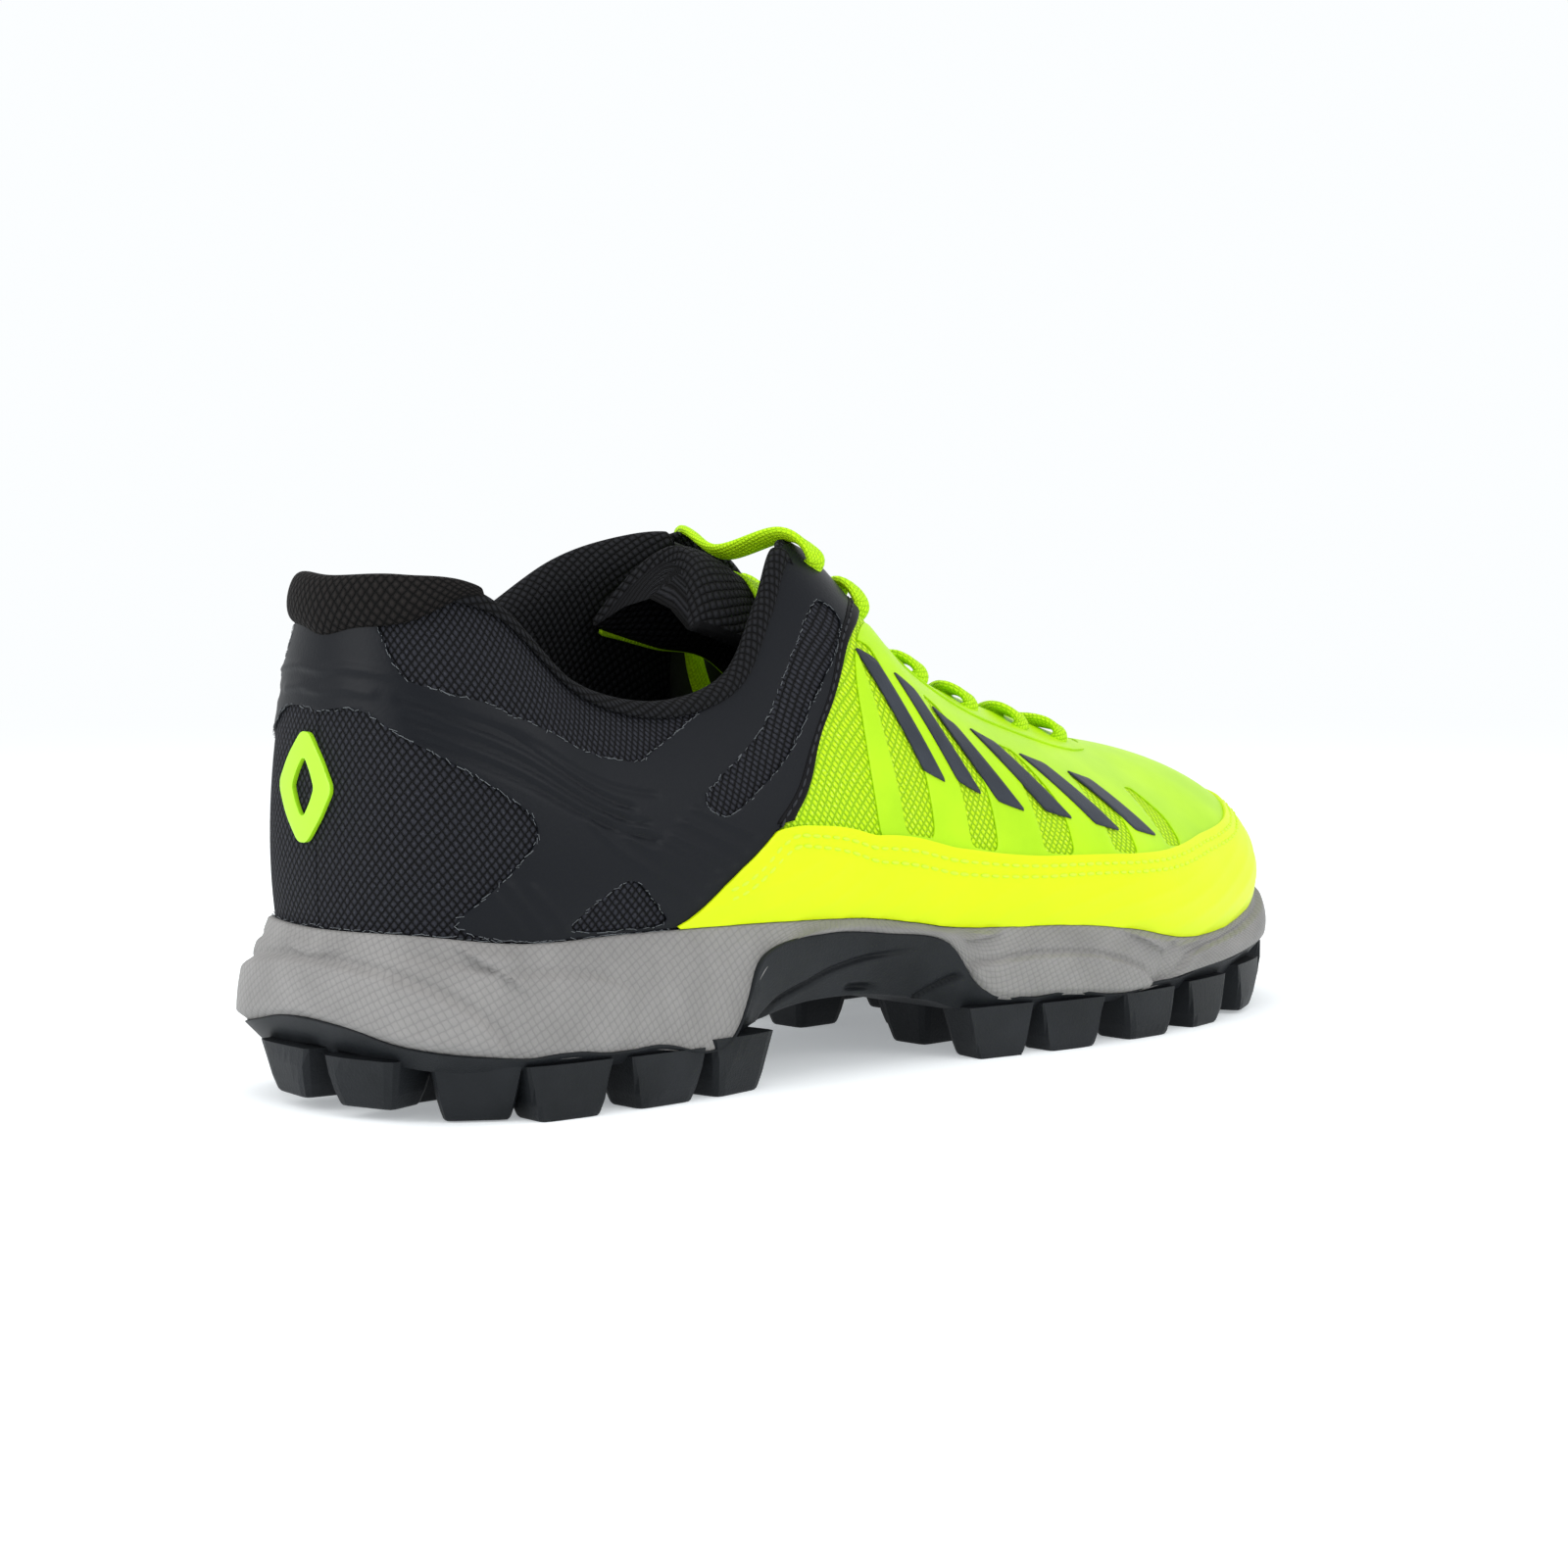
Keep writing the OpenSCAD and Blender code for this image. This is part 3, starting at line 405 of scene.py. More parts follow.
toe_crest = [(11.5, 0.62), (11.6, 0.42), (11.8, 0.2), (12.3, 0.04), (13.2, -0.02), (14.5, -0.02), (16, -0.02)]


def flat_distance(points, line, scale):
    """Distance from points to a bent line, and on which side of it they lie, in scaled coordinates."""
    q, line = points * scale, np.array(line) * scale
    best, side = np.full(len(q), 9.0), np.ones(len(q))
    for a, b in zip(line, line[1:]):
        run = b - a
        t = np.clip(((q - a) @ run) / (run @ run), 0, 1)
        off = q - (a + t[:, None] * run)
        d = norm(off, axis=1)
        nearer = d < best
        side = np.where(nearer, np.sign(run[0] * off[:, 1] - run[1] * off[:, 0]), side)
        best = np.where(nearer, d, best)
    return best, side


def smooth_step(x):
    x = np.clip(x, 0, 1)
    return x * x * (3 - 2 * x)


def wall_relief(u, t):
    """How far the moulded wall stands out, in millimetres."""
    q, scale = np.stack([u, t], 1), np.array([18.0, 21.0])
    relief = np.zeros(len(u))
    for line, width, height in ((heel_panel, 0.9, 1.7), (fore_panel, 0.8, 1.5), (toe_panel, 0.8, 1.2)):
        d, side = flat_distance(q, line, scale)
        signed = d * side
        inside = smooth_step(0.5 + signed / (2 * width))
        reach = smooth_step((line[-1][0] + 0.3 - u) / 0.3) * smooth_step((u - line[0][0] + 0.3) / 0.3)
        relief += height * inside * reach - 0.45 * np.exp(-((signed + 0.9) / 0.7) ** 2) * reach
    d, side = flat_distance(q, top_ledge, scale)
    fade_in = smooth_step((u - 0.4) / 0.8) * smooth_step((3.15 - u) / 0.5)
    relief += (0.8 * smooth_step(0.5 + d * side / 2.0) - 0.7 * np.exp(-(d / 0.7) ** 2)) * fade_in
    d, side = flat_distance(q, toe_crest, scale)
    relief += 0.7 * np.exp(-(d / 0.9) ** 2) * smooth_step((u - 11.45) / 0.3)
    relief -= 1.1 * np.exp(-((u - 11.47) / 0.16) ** 2) * smooth_step((t - 0.15) / 0.4)
    for shift in (0.0, 0.075):
        d, _ = flat_distance(np.stack([np.abs(u), t], 1), [(-0.02, 0.2 + shift), (0.34, 0.08 + shift)], scale)
        relief += 0.6 * np.exp(-(d / 0.6) ** 2)
    return relief


def run_along(rows):
    """Length run at each point of a line, or the mean run at each of several rows of points."""
    steps = norm(np.diff(rows, axis=0), axis=-1)
    return np.concatenate([[0], np.cumsum(steps if steps.ndim == 1 else steps.mean(1))])


station = lap_station(wall_laps)
foam_rows = []
top_edge, low_edge = plan_point(foot_rail, wall_laps, -0.0014), plan_point(seam_rail, wall_laps, 0.0001)
bulge_point = 2 * plan_point(wall_rail, wall_laps, -0.0018) - (top_edge + low_edge) / 2
out_wards = plan_point(wall_rail, wall_laps, -0.001) - plan_point(wall_rail, wall_laps, 0)
out_wards /= norm(out_wards, axis=1, keepdims=True)
girth = run_along(plan_point(wall_rail, wall_laps, 0))
for t in np.linspace(0, 1, 35):
    line = (1 - t) ** 2 * top_edge + 2 * t * (1 - t) * bulge_point + t * t * low_edge
    relief = wall_relief(station, np.full(len(station), t)) * mm
    ease = smooth_step(t / 0.12) * smooth_step((1.0 - t) / 0.12)
    foam_rows.append(line + out_wards * (relief * ease)[:, None])
rim_rows = [plan_point(foot_rail, wall_laps, i * mm, z * mm)
            for i, z in ((0.3, -4.2), (0.25, -2), (0.1, -0.2), (-0.3, 0.25), (-0.8, 0.3), (-1.2, 0.12))]
floor_rows = [sole_line(foot_rail, wall_laps, 0.0003, -0.0045, s) for s in (0, 0.3, 0.6, 0.8)]
under_rows = [sole_line(tread_rail, wall_laps, plate_t, plate_t + 0.0001, s) for s in (1, 0.8, 0.5, 0)]
foam = np.stack(floor_rows + rim_rows + foam_rows + under_rows, 1)
drop = run_along(foam.swapaxes(0, 1))
foam_uv = np.stack(np.broadcast_arrays(girth[:, None], drop[None]), -1) / mm
foam_faces = ring_faces(len(wall_laps), foam.shape[1])[:1 - foam.shape[1]]
foam_midsole = as_mesh("foam_midsole", foam.reshape(-1, 3), foam_faces, foam_uv.reshape(-1, 2))
turn_out(foam_midsole, merge=True)


def small_bumps(nodes, links, width, height, angle):
    """Staggered rounded bumps, width by height millimetres each, on the piece's cloth map. Also gives the map."""
    wander, roundness = 0.35, 0.6
    place, stray = add_node(nodes, "UVMap", uv_map="cloth"), add_node(nodes, "TexNoise", Scale=0.9, Detail=2.0)
    strayed = add_node(nodes, "VectorMath", operation="MULTIPLY_ADD")
    strayed.inputs[1].default_value = (wander, wander, 0)
    crossed, bump, round_top = (add_node(nodes, "Math", operation=kind) for kind in ("MULTIPLY", "ABSOLUTE", "POWER"))
    round_top.inputs[1].default_value = roundness
    c, d = math.cos(math.radians(angle)), math.sin(math.radians(angle))
    for entry, sign in enumerate((1, -1)):
        dot, wave = add_node(nodes, "VectorMath", operation="DOT_PRODUCT"), add_node(nodes, "Math", operation="SINE")
        a, b = math.pi / width, sign * math.pi / (2 * height)
        dot.inputs[1].default_value = (a * c - b * d, a * d + b * c, 0)
        join(links, (strayed, "Vector", dot, 0), (dot, "Value", wave, 0), (wave, 0, crossed, entry))
    join(links, (place, "UV", stray, "Vector"), (stray, "Color", strayed, 0), (place, "UV", strayed, 2),
         (crossed, 0, bump, 0), (bump, 0, round_top, 0))
    return round_top, place


def moulded_foam(name, dark, light):
    """Foam skin: rows of small rounded scales with painted shade in the hollows between them, so their tops read
    lighter, and faint mottling.
    """
    material, nodes, links, shader = finish(name, Roughness=0.6, Specular_IOR_Level=0.22)
    scales, place = small_bumps(nodes, links, 1.9, 0.75, 14)
    mottle = add_node(nodes, "TexNoise", Scale=0.09, Detail=3.0)
    # The second ramp is painted shade: it darkens the hollows between the scales and leaves their tops at full
    # colour.
    tint, low = ramp(nodes, dark, light, 0.2, 0.8), ramp(nodes, (0.80, 0.80, 0.81), (1, 1, 1), 0.0, 0.6)
    shade, bump = add_node(nodes, "MixRGB", blend_type="MULTIPLY", Fac=1.0), add_node(nodes, "Bump", Strength=0.55)
    bump.inputs["Distance"].default_value = 0.00022
    join(links, (place, "UV", mottle, "Vector"), (mottle, "Fac", tint, "Fac"), (scales, 0, low, "Fac"),
         (tint, "Color", shade, "Color1"), (low, "Color", shade, "Color2"), (shade, "Color", shader, "Base Color"),
         (scales, 0, bump, "Height"), (bump, "Normal", shader, "Normal"))
    return material


foam_midsole.data.materials.append(moulded_foam("midsole_foam", (0.195, 0.190, 0.185), (0.265, 0.258, 0.252)))
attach(foam_midsole, "shoe")
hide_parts("midsole")

# ---- Strobel board, heel counter and toe puff
# The board that the upper is sewn to, and the two stiffeners glued between mesh and lining. They are shut in
# by the layers round them, so the model's own solids stay and get plain board and sheet finishes.
board_felt = coated("board_felt", (900.0, 6.0), (900.0, 6.0, 0.5), (0.5, 0.0002),
                    ((0.48, 0.45, 0.38), (0.74, 0.71, 0.62)), Roughness=0.95, Specular_IOR_Level=0.1)
stiff_sheet = grain_rubber("stiff_sheet", (0.38, 0.35, 0.28), (0.55, 0.52, 0.43), 0.6, 700.0, 0.0001)
for node, material in (("strobel_board", board_felt), ("heel_counter", stiff_sheet), ("toe_puff", stiff_sheet)):
    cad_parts[node].data.materials.clear()
    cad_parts[node].data.materials.append(material)

# ---- Quarters
# The black rear half of the upper: coarse woven mesh, cut in two halves that meet down the back of the heel and
# end in a slanted edge on the vamp. Its lower edge is tucked into the cup of the foam.
low_rail = np.array([
    [1.5, 0, 58], [7, 24.5, 58], [27, 34.5, 54], [50, 39, 50], [76, 40, 50], [98, 41, 50],
    [112, 42, 50], [124, 44, 49], [136, 46, 47], [150, 49, 44], [168, 51, 42], [188, 52, 40],
    [208, 51, 37], [230, 46, 36], [251, 37, 37], [265, 22, 41], [270, 0, 43]]) * mm
high_rail = np.array([
    [3.5, 0, 84], [9.5, 21, 84], [28, 30.5, 80], [48, 34, 68], [69, 35, 66], [89, 34, 73],
    [104, 32, 84], [117, 32, 88], [131, 34, 82], [145, 37, 73], [162, 39, 65], [180, 38, 59],
    [198, 35, 55], [217, 30, 53], [238, 24, 54], [252, 13, 56], [257, 0, 57]]) * mm
top_rail = np.array([
    [6.5, 0, 103.5], [12, 14.5, 103.8], [26, 22.5, 100.5], [43, 26.5, 84], [63, 28, 78.5], [84, 26.5, 83],
    [98, 21.5, 97], [110, 15.5, 109], [124, 13.5, 103.5], [138, 13, 88.5], [154, 13, 78], [172, 13, 71.5],
    [189, 12.5, 66.8], [201, 10.5, 64], [207, 7, 63], [210.5, 3.5, 62.5], [212, 0, 62.3]]) * mm
throat_bend = np.array([0, 0, 0, 0, 0, 0, 0, 0, 0, 0, 0, 0, 0.3, 0.6, 1, 1, 1]) * mm
collar_rise = np.array([0, 0, 0.5, 8.5, 16.3, 22.3, 12.8, 1.6, 1, 0, 0, 0, 0, 0, 0, 0, 0]) * mm


def upper_face(p, v):
    """Outer face of the upper at lap p and height fraction v."""
    p, v = np.broadcast_arrays(np.asarray(p, float), np.asarray(v, float))
    u, side = lap_station(p), lap_side(p)
    bends = along(foot_bend, u), along(throat_bend, u)
    rise = np.where(side > 0, along(collar_rise, u), 0.0)
    rails = ((foot_rail, 0.0, 0.0), (low_rail, 0.2, 0.0), (high_rail, 0.6, 0.6), (top_rail, 1.0, 1.0))
    weights = ((1 - v) ** 3, 3 * v * (1 - v) ** 2, 3 * v * v * (1 - v), v ** 3)
    return sum(
        placed(along(rail, u), bends[0] * (1 - mix) + bends[1] * mix, side, rise * lift) * weight[..., None]
        for (rail, mix, lift), weight in zip(rails, weights))


def off_face(p, v, depth):
    """A point off the upper's face by depth, in millimetres."""
    here, step = upper_face(p, v), 0.01
    normal = np.cross(upper_face(p + step, v) - here, upper_face(p, v + step) - here)
    normal /= norm(normal, axis=-1, keepdims=True)
    return here + normal * (np.asarray(depth, float)[..., None] * mm)


cloth_laps = np.arange(-16, 48, 0.05)
cloth_length = run_along(upper_face(cloth_laps, 0.45)) / mm


def cloth_place(p, v):
    """Place on the flat cloth in millimetres: round the shoe, and up it."""
    rise = sum(norm(upper_face(p, b) - upper_face(p, a), axis=-1) for a, b in ((0.0, 0.5), (0.5, 1.0)))
    return np.stack([np.interp(p, cloth_laps, cloth_length), v * rise / mm], -1)


def layer_faces(rows, columns):
    """Faces of a closed layer: a grid of points, the same grid on its other side, and the rim between them."""
    r, c = np.meshgrid(np.arange(rows - 1), np.arange(columns - 1), indexing="ij")
    a = (r * columns + c).ravel()
    quad, n = np.stack([a, a + 1, a + columns + 1, a + columns], -1), rows * columns
    edge = np.concatenate([
        np.arange(columns), np.arange(1, rows) * columns + columns - 1,
        (rows - 1) * columns + np.arange(columns - 2, -1, -1), np.arange(rows - 2, 0, -1) * columns])
    after = np.roll(edge, -1)
    return np.concatenate([quad, quad[:, ::-1] + n, np.stack([after, edge, edge + n, after + n], -1)])


def grid_shell(name, p, v, outer, inner):
    """A closed cloth layer over a grid of laps and heights, from depth inner to depth outer."""
    faces = [off_face(p, v, np.full(p.shape, depth)).reshape(-1, 3) for depth in (outer, inner)]
    uv = np.tile(cloth_place(p, v).reshape(-1, 2), (2, 1))
    piece = as_mesh(name, np.concatenate(faces), layer_faces(*p.shape), uv)
    turn_out(piece)
    return piece


quarter_edge = np.array([
    [-0.06, 3.4], [0, 3.5], [0.16, 3.95], [0.35, 4.6], [0.56, 5.6], [0.66, 6.6], [0.78, 7.5], [0.9, 8.2], [1, 8.6]])


def edge_lap(v):
    return np.interp(v, quarter_edge[:, 0], quarter_edge[:, 1])


def woven(name, shaded_gap, lit_crown, painted_glint, width, height, depth, rough=0.75, angle=0.0, **sockets):
    """Woven or knitted mesh: staggered floats of yarn, with painted highlights on their crowns, painted shade in the
    gaps and painted glints in scattered spots on the crowns.
    """
    material, nodes, links, shader = finish(name, Roughness=rough, Specular_IOR_Level=0.14, **sockets)
    floats, place = small_bumps(nodes, links, width, height, angle)
    # Painted light: the colour runs from painted shade in the gaps to a painted highlight on each crown. Painted
    # glints are mixed in where a noise lands on a crown.
    yarn, tint = add_node(nodes, "TexNoise", Scale=2.2, Detail=3.0), ramp(nodes, shaded_gap, lit_crown, 0.28, 0.9)
    glint_spots = add_node(nodes, "MapRange", From_Min=0.56, From_Max=0.78)
    lit = add_node(nodes, "Math", operation="MULTIPLY")
    painted_glints = add_node(nodes, "MixRGB", Color2=(*painted_glint, 1))
    bump = add_node(nodes, "Bump", Strength=0.85, Distance=depth)
    join(links, (place, "UV", yarn, "Vector"), (floats, 0, tint, "Fac"), (yarn, "Fac", glint_spots, "Value"),
         (glint_spots, "Result", lit, 0), (floats, 0, lit, 1), (lit, 0, painted_glints, "Fac"), (tint, "Color", painted_glints, "Color1"),
         (painted_glints, "Color", shader, "Base Color"), (floats, 0, bump, "Height"), (bump, "Normal", shader, "Normal"))
    return material


# Painted light: the lighter crown colour and the flecks are painted highlights and glints on the black yarn, and the
# near-black gaps are painted shade.
black_mesh = woven("black_mesh", (0.0015, 0.0015, 0.002), (0.022, 0.023, 0.030), (0.055, 0.058, 0.072), 1.75, 1.05,
                   0.0007)
mesh_t, tuck, heel_seam = 1.0, -0.055, 0.004
for side_name, sign in (("right", 1), ("left", -1)):
    share, height = np.meshgrid(np.linspace(0, 1, 110), np.linspace(0, 1, 60), indexing="ij")
    top = np.interp(share * edge_lap(height), [0, 6.8, 7.0, 9], [0.955, 0.955, 1, 1])
    v = tuck + (top - tuck) * height
    p = sign * (heel_seam + share * (edge_lap(v) - heel_seam))
    quarter = grid_shell("quarter_mesh_" + side_name, p, v, 0.0, -mesh_t)
    quarter.data.materials.append(black_mesh)
    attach(quarter, "shoe")
    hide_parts("quarter_" + side_name)

# ---- Quarter films
# A satin film, half a millimetre thick, heat-pressed on both quarters in one piece. Windows are cut through it to
# the mesh, and ribs and grooves are pressed in it. A thin frayed line of pale thread stands round every window.
# Millimetres of cloth in one lap station and in the whole height, near enough for cutting shapes.
cloth_scale, mirror = np.array([14.5, 68.0]), np.array([-1, 1])


def rounded(points, closed=True, times=2, cut_back=0.22):
    """The outline with its corners cut back, so that it turns smoothly."""
    q = np.array(points, float)
    for _ in range(times):
        after, before = (np.roll(q, -1, axis=0), q) if closed else (q[1:], q[:-1])
        cut = np.stack([before * (1 - cut_back) + after * cut_back, before * cut_back + after * (1 - cut_back)], 1)
        q = cut.reshape(-1, 2) if closed else np.concatenate([q[:1], cut.reshape(-1, 2), q[-1:]])
    return q


def stepped(points, step, closed=True):
    """The same line with a point every step, in millimetres on the cloth."""
    q = np.array(points, float)
    q = np.concatenate([q, q[:1]]) if closed else q
    run = run_along(q * cloth_scale)
    count = max(int(run[-1] / step), 4)
    marks = np.linspace(0, run[-1], count + 1)[:count + (not closed)]
    return np.stack([np.interp(marks, run, q[:, 0]), np.interp(marks, run, q[:, 1])], 1)


def cut_sheet(name, outline, holes=(), outer=0.5, inner=0.02, step=0.9, relief=None, sign=1):
    """A film cut to an outline with holes, laid on the upper. Its top face is depth outer off the upper's face."""
    loops = [stepped(outline, step)] + [stepped(hole, step) for hole in holes]
    low, high = loops[0].min(0), loops[0].max(0)
    nx, ny = ((high - low) * cloth_scale / step).astype(int) + 2
    gx, gy = np.meshgrid(np.linspace(low[0], high[0], nx), np.linspace(low[1], high[1], ny), indexing="ij")
    gx = gx + (np.arange(ny) % 2) * 0.5 * (high[0] - low[0]) / nx
    fill = np.stack([gx.ravel(), gy.ravel()], 1)

    def covered(q):
        keep = inside_outline(q, loops[0])
        for loop in loops[1:]:
            keep &= ~inside_outline(q, loop)
        return keep

    rims = np.concatenate(loops)
    fill = fill[covered(fill)]
    gap = np.concatenate([norm((f[:, None] - rims[None]) * cloth_scale, axis=2).min(1)
                          for f in np.array_split(fill, max(len(fill) // 2000, 1))])
    flat, links = np.concatenate([rims, fill[gap > step * 0.6]]), []
    for loop in loops:
        links += [(len(links) + k, len(links) + (k + 1) % len(loop)) for k in range(len(loop))]
    verts, _, faces, *_ = geometry.delaunay_2d_cdt([Vector(q) for q in flat * cloth_scale], links, [], 0, 1e-6)
    flat = np.array([tuple(q) for q in verts]) / cloth_scale
    faces = np.array([f for f in faces if len(f) == 3])
    faces = faces[covered(flat[faces].mean(1))]
    n = len(flat)
    lift = np.full(n, outer) + (relief(flat[:, 0], flat[:, 1]) if relief else 0)
    p = sign * flat[:, 0]
    points = np.concatenate([off_face(p, flat[:, 1], lift), off_face(p, flat[:, 1], np.full(n, inner))])
    pairs = np.concatenate([faces[:, [0, 1]], faces[:, [1, 2]], faces[:, [2, 0]]])
    seen = {tuple(q) for q in pairs}
    rim = [(a, b) for a, b in seen if (b, a) not in seen]
    walls = [(b, a, a + n) for a, b in rim] + [(b, a + n, b + n) for a, b in rim]
    uv = cloth_place(p, flat[:, 1])
    piece = as_mesh(name, points, [*faces, *(faces[:, ::-1] + n), *walls], np.concatenate([uv, uv]))
    turn_out(piece)
    cut_edge = piece.modifiers.new("cut_edge", "BEVEL")
    cut_edge.width, cut_edge.segments, cut_edge.limit_method = 0.00014, 2, "ANGLE"
    cut_edge.angle_limit = math.radians(50)
    return piece


window_under_collar = [
    (0.66, 0.86), (0.74, 0.81), (0.84, 0.74), (0.95, 0.69), (1.31, 0.668), (1.78, 0.655), (2.01, 0.635),
    (2.80, 0.665), (3.05, 0.684), (3.40, 0.690), (3.65, 0.76), (4.0, 0.83), (4.4, 0.89), (4.85, 0.955)]
film_front = [(3.42, 0.01), (3.58, 0.03), (3.90, 0.163), (4.52, 0.35), (5.50, 0.555), (6.50, 0.655), (7.38, 0.78),
              (8.05, 0.89), (8.45, 0.985)]
heel_window = [(0.0, 0.60), (0.30, 0.612), (0.58, 0.600), (0.89, 0.538), (1.56, 0.459), (2.06, 0.385),
               (2.14, 0.34), (2.06, 0.276), (1.67, 0.143), (1.2, 0.012)]
half_outline = heel_window + film_front + [(7.0, 0.985), (6.75, 0.955)] + window_under_collar[::-1] + [(0.0, 0.86)]
bottom_window = [(2.36, 0.03), (2.60, 0.11), (2.95, 0.215), (3.08, 0.215), (3.24, 0.13), (3.42, 0.02)]
front_window = [
    (7.22, 0.80), (7.20, 0.765), (6.78, 0.706), (6.2, 0.672), (5.50, 0.628), (4.95, 0.575), (4.49, 0.512),
    (4.12, 0.443), (3.98, 0.455), (3.90, 0.515), (3.98, 0.56), (4.30, 0.632), (4.85, 0.71), (5.39, 0.765),
    (6.3, 0.81), (6.95, 0.83)]


def both_sides(half):
    """The whole outline of a piece from the half of it on the right side, whose ends lie on the middle line."""
    return np.concatenate([half, (half * mirror)[::-1][1:-1]])


windows = [rounded(bottom_window), rounded(front_window)]
film_loops = [both_sides(rounded(half_outline, closed=False))] + windows + [loop * mirror for loop in windows]
# Each rib is a line, its height and its half width. A groove has a height below nought.
ribs = [([(0, 0.715), (0.35, 0.722), (0.9, 0.70)], 0.5, 0.75), ([(0, 0.655), (0.3, 0.665), (0.62, 0.65)], 0.45, 0.75)]
ribs += [([(3.30 + 0.16 * k, 0.34 + 0.052 * k), (3.85 + 0.16 * k, 0.20 + 0.052 * k)], 0.35, 0.7) for k in range(4)]
ribs += [([(2.62 + 0.2 * k, 0.42 + 0.03 * k), (3.62 + 0.1 * k, 0.13 + 0.055 * k)], 0.30, 0.7) for k in range(3)]
ribs += [([(1.62 + 0.22 * k, 0.17), (1.95 + 0.22 * k, 0.05)], 0.35, 0.8) for k in range(3)]
ribs += [([(0.92 + 0.08 * k, 0.635 - 0.052 * k), (3.1 + 0.1 * k, 0.50 - 0.060 * k)], -0.62, 0.8) for k in range(3)]
ribs += [([(1.35, 0.60), (3.4, 0.56)], -0.3, 0.8)]


def film_relief(u, v):
    """Raised ribs, and grooves pressed in, in millimetres."""
    q, height = np.stack([np.abs(u), v], 1), np.zeros(len(u))
    for line, rise, width in ribs:
        distance, _ = flat_distance(q, line, cloth_scale)
        height += rise * np.exp(-(distance / width) ** 2)
    return height


def frayed(name, paths, width, depth):
    """Frayed thread ends along cut edges: short slivers that wander to both sides of each line."""
    rng = np.random.default_rng(7)
    points, faces = [], []
    missing_share, longest = 0.25, 3 * mm
    for path in paths:
        for a, b in zip(path, path[1:]):
            if rng.random() < missing_share:
                continue
            drift = rng.normal(0, 0.2, 4) / np.tile(cloth_scale, 2)
            ends = np.concatenate([a, b]) + drift
            ends = off_face(ends[::2], ends[1::2], np.full(2, depth + rng.random() * 0.12))
            run = ends[1] - ends[0]
            if norm(run) > longest:
                continue
            up = off_face(np.array([a[0]]), np.array([a[1]]), np.array([depth + 1.0]))[0] - ends[0]
            up = up - run * (up @ run) / (run @ run)
            up /= norm(up)
            across = np.cross(run, up) / norm(run)
            half = width * mm * rng.uniform(0.35, 0.6)
            base = len(points)
            for end in ends:
                points += [end + across * half, end + up * half, end - across * half, end - up * half]
            faces += [(base + i, base + (i + 1) % 4, base + 4 + (i + 1) % 4, base + 4 + i) for i in range(4)]
            faces += [(base + 3, base + 2, base + 1, base), (base + 4, base + 5, base + 6, base + 7)]
    piece = as_mesh(name, points, faces)
    turn_out(piece)
    return piece


quarter_film = cut_sheet("quarter_film", film_loops[0], film_loops[1:], 0.5, 0.02, 0.7, film_relief)
quarter_film.data.materials.append(coated(
    "black_film", (38.0, 5.0), (1400.0, 2.0, 0.5), (0.35, 0.00012), shine=(0.30, 0.50),
    Base_Color=(0.0055, 0.0065, 0.0090, 1), Specular_IOR_Level=0.12))
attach(quarter_film, "shoe")
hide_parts("film_right", "film_left")
heel_edge, collar_edge = (rounded(line, closed=False) for line in (heel_window + film_front[:1], window_under_collar))
frayed_lines = [stepped(loop, 0.8) for loop in film_loops[1:]]
for line in (both_sides(heel_edge), collar_edge, collar_edge * mirror):
    frayed_lines.append(stepped(line, 0.8, closed=False))
frayed_edges = frayed("frayed_edges", frayed_lines, 0.15, 0.5)
frayed_edges.data.materials.append(finish("pale_thread", Base_Color=(0.11, 0.12, 0.13, 1), Roughness=0.8)[0])
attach(frayed_edges, "shoe")

# ---- Vamp
# One piece of lime mesh round the front of the foot, lapped under the quarters behind and closed under the
# tongue in front. Its yarn is bright lime, with painted highlights on the pale floats, painted shade in the greener
# gaps, and a faint painted glow.
height = np.linspace(tuck, 1, 54)[:, None]
lap_gap, share = 0.03, np.linspace(0, 1, 230)[None]
start = edge_lap(height) + lap_gap
vamp_laps = start + share * (whole_lap - 2 * start)
vamp_mesh = grid_shell("vamp_mesh", vamp_laps.T, np.broadcast_to(height, vamp_laps.shape).T, 0.0, -mesh_t)
# Painted light: the pale crown colour and flecks are painted highlights and glints, the darker green gaps are painted
# shade, and the emission is a faint painted glow.
vamp_mesh.data.materials.append(woven(
    "lime_mesh", (0.26, 0.50, 0.002), (0.50, 0.76, 0.006), (0.72, 0.88, 0.22), 1.75, 1.05, 0.0005, 0.6,
    Emission_Color=(0.5, 0.9, 0.0, 1), Emission_Strength=0.05))
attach(vamp_mesh, "shoe")
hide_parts("vamp")

# ---- Vamp lining
# Grey brushed cloth glued behind the vamp, seen only down through the mouth of the shoe. Its shape in the
# model is right, so it stays and gets a cloth finish.
lining_cloth = grain_rubber("lining_cloth", (0.030, 0.030, 0.033), (0.060, 0.060, 0.064), 0.9, 1200.0, 0.0003)
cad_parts["vamp_lining"].data.materials.clear()
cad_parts["vamp_lining"].data.materials.append(lining_cloth)

# ---- Vamp film
# Smooth lime film heat-pressed on each side of the vamp. Five upright slots through it leave stripes of bare
# mesh, and in front of them the film covers the toe without a break.
rand_edge = [(3.55, 0.04), (4.0, 0.21), (4.72, 0.37), (5.3, 0.33), (6.2, 0.265), (8.0, 0.254), (9.6, 0.278),
             (11.1, 0.33), (12.9, 0.44), (14.6, 0.47), (16.0, 0.48)]


def rand_height(p):
    return np.interp(p, *np.array(rand_edge).T)


stripe_centres = [(7.28, 0.33), (8.58, 0.25), (9.84, 0.24), (11.02, 0.22), (12.2, 0.17)]
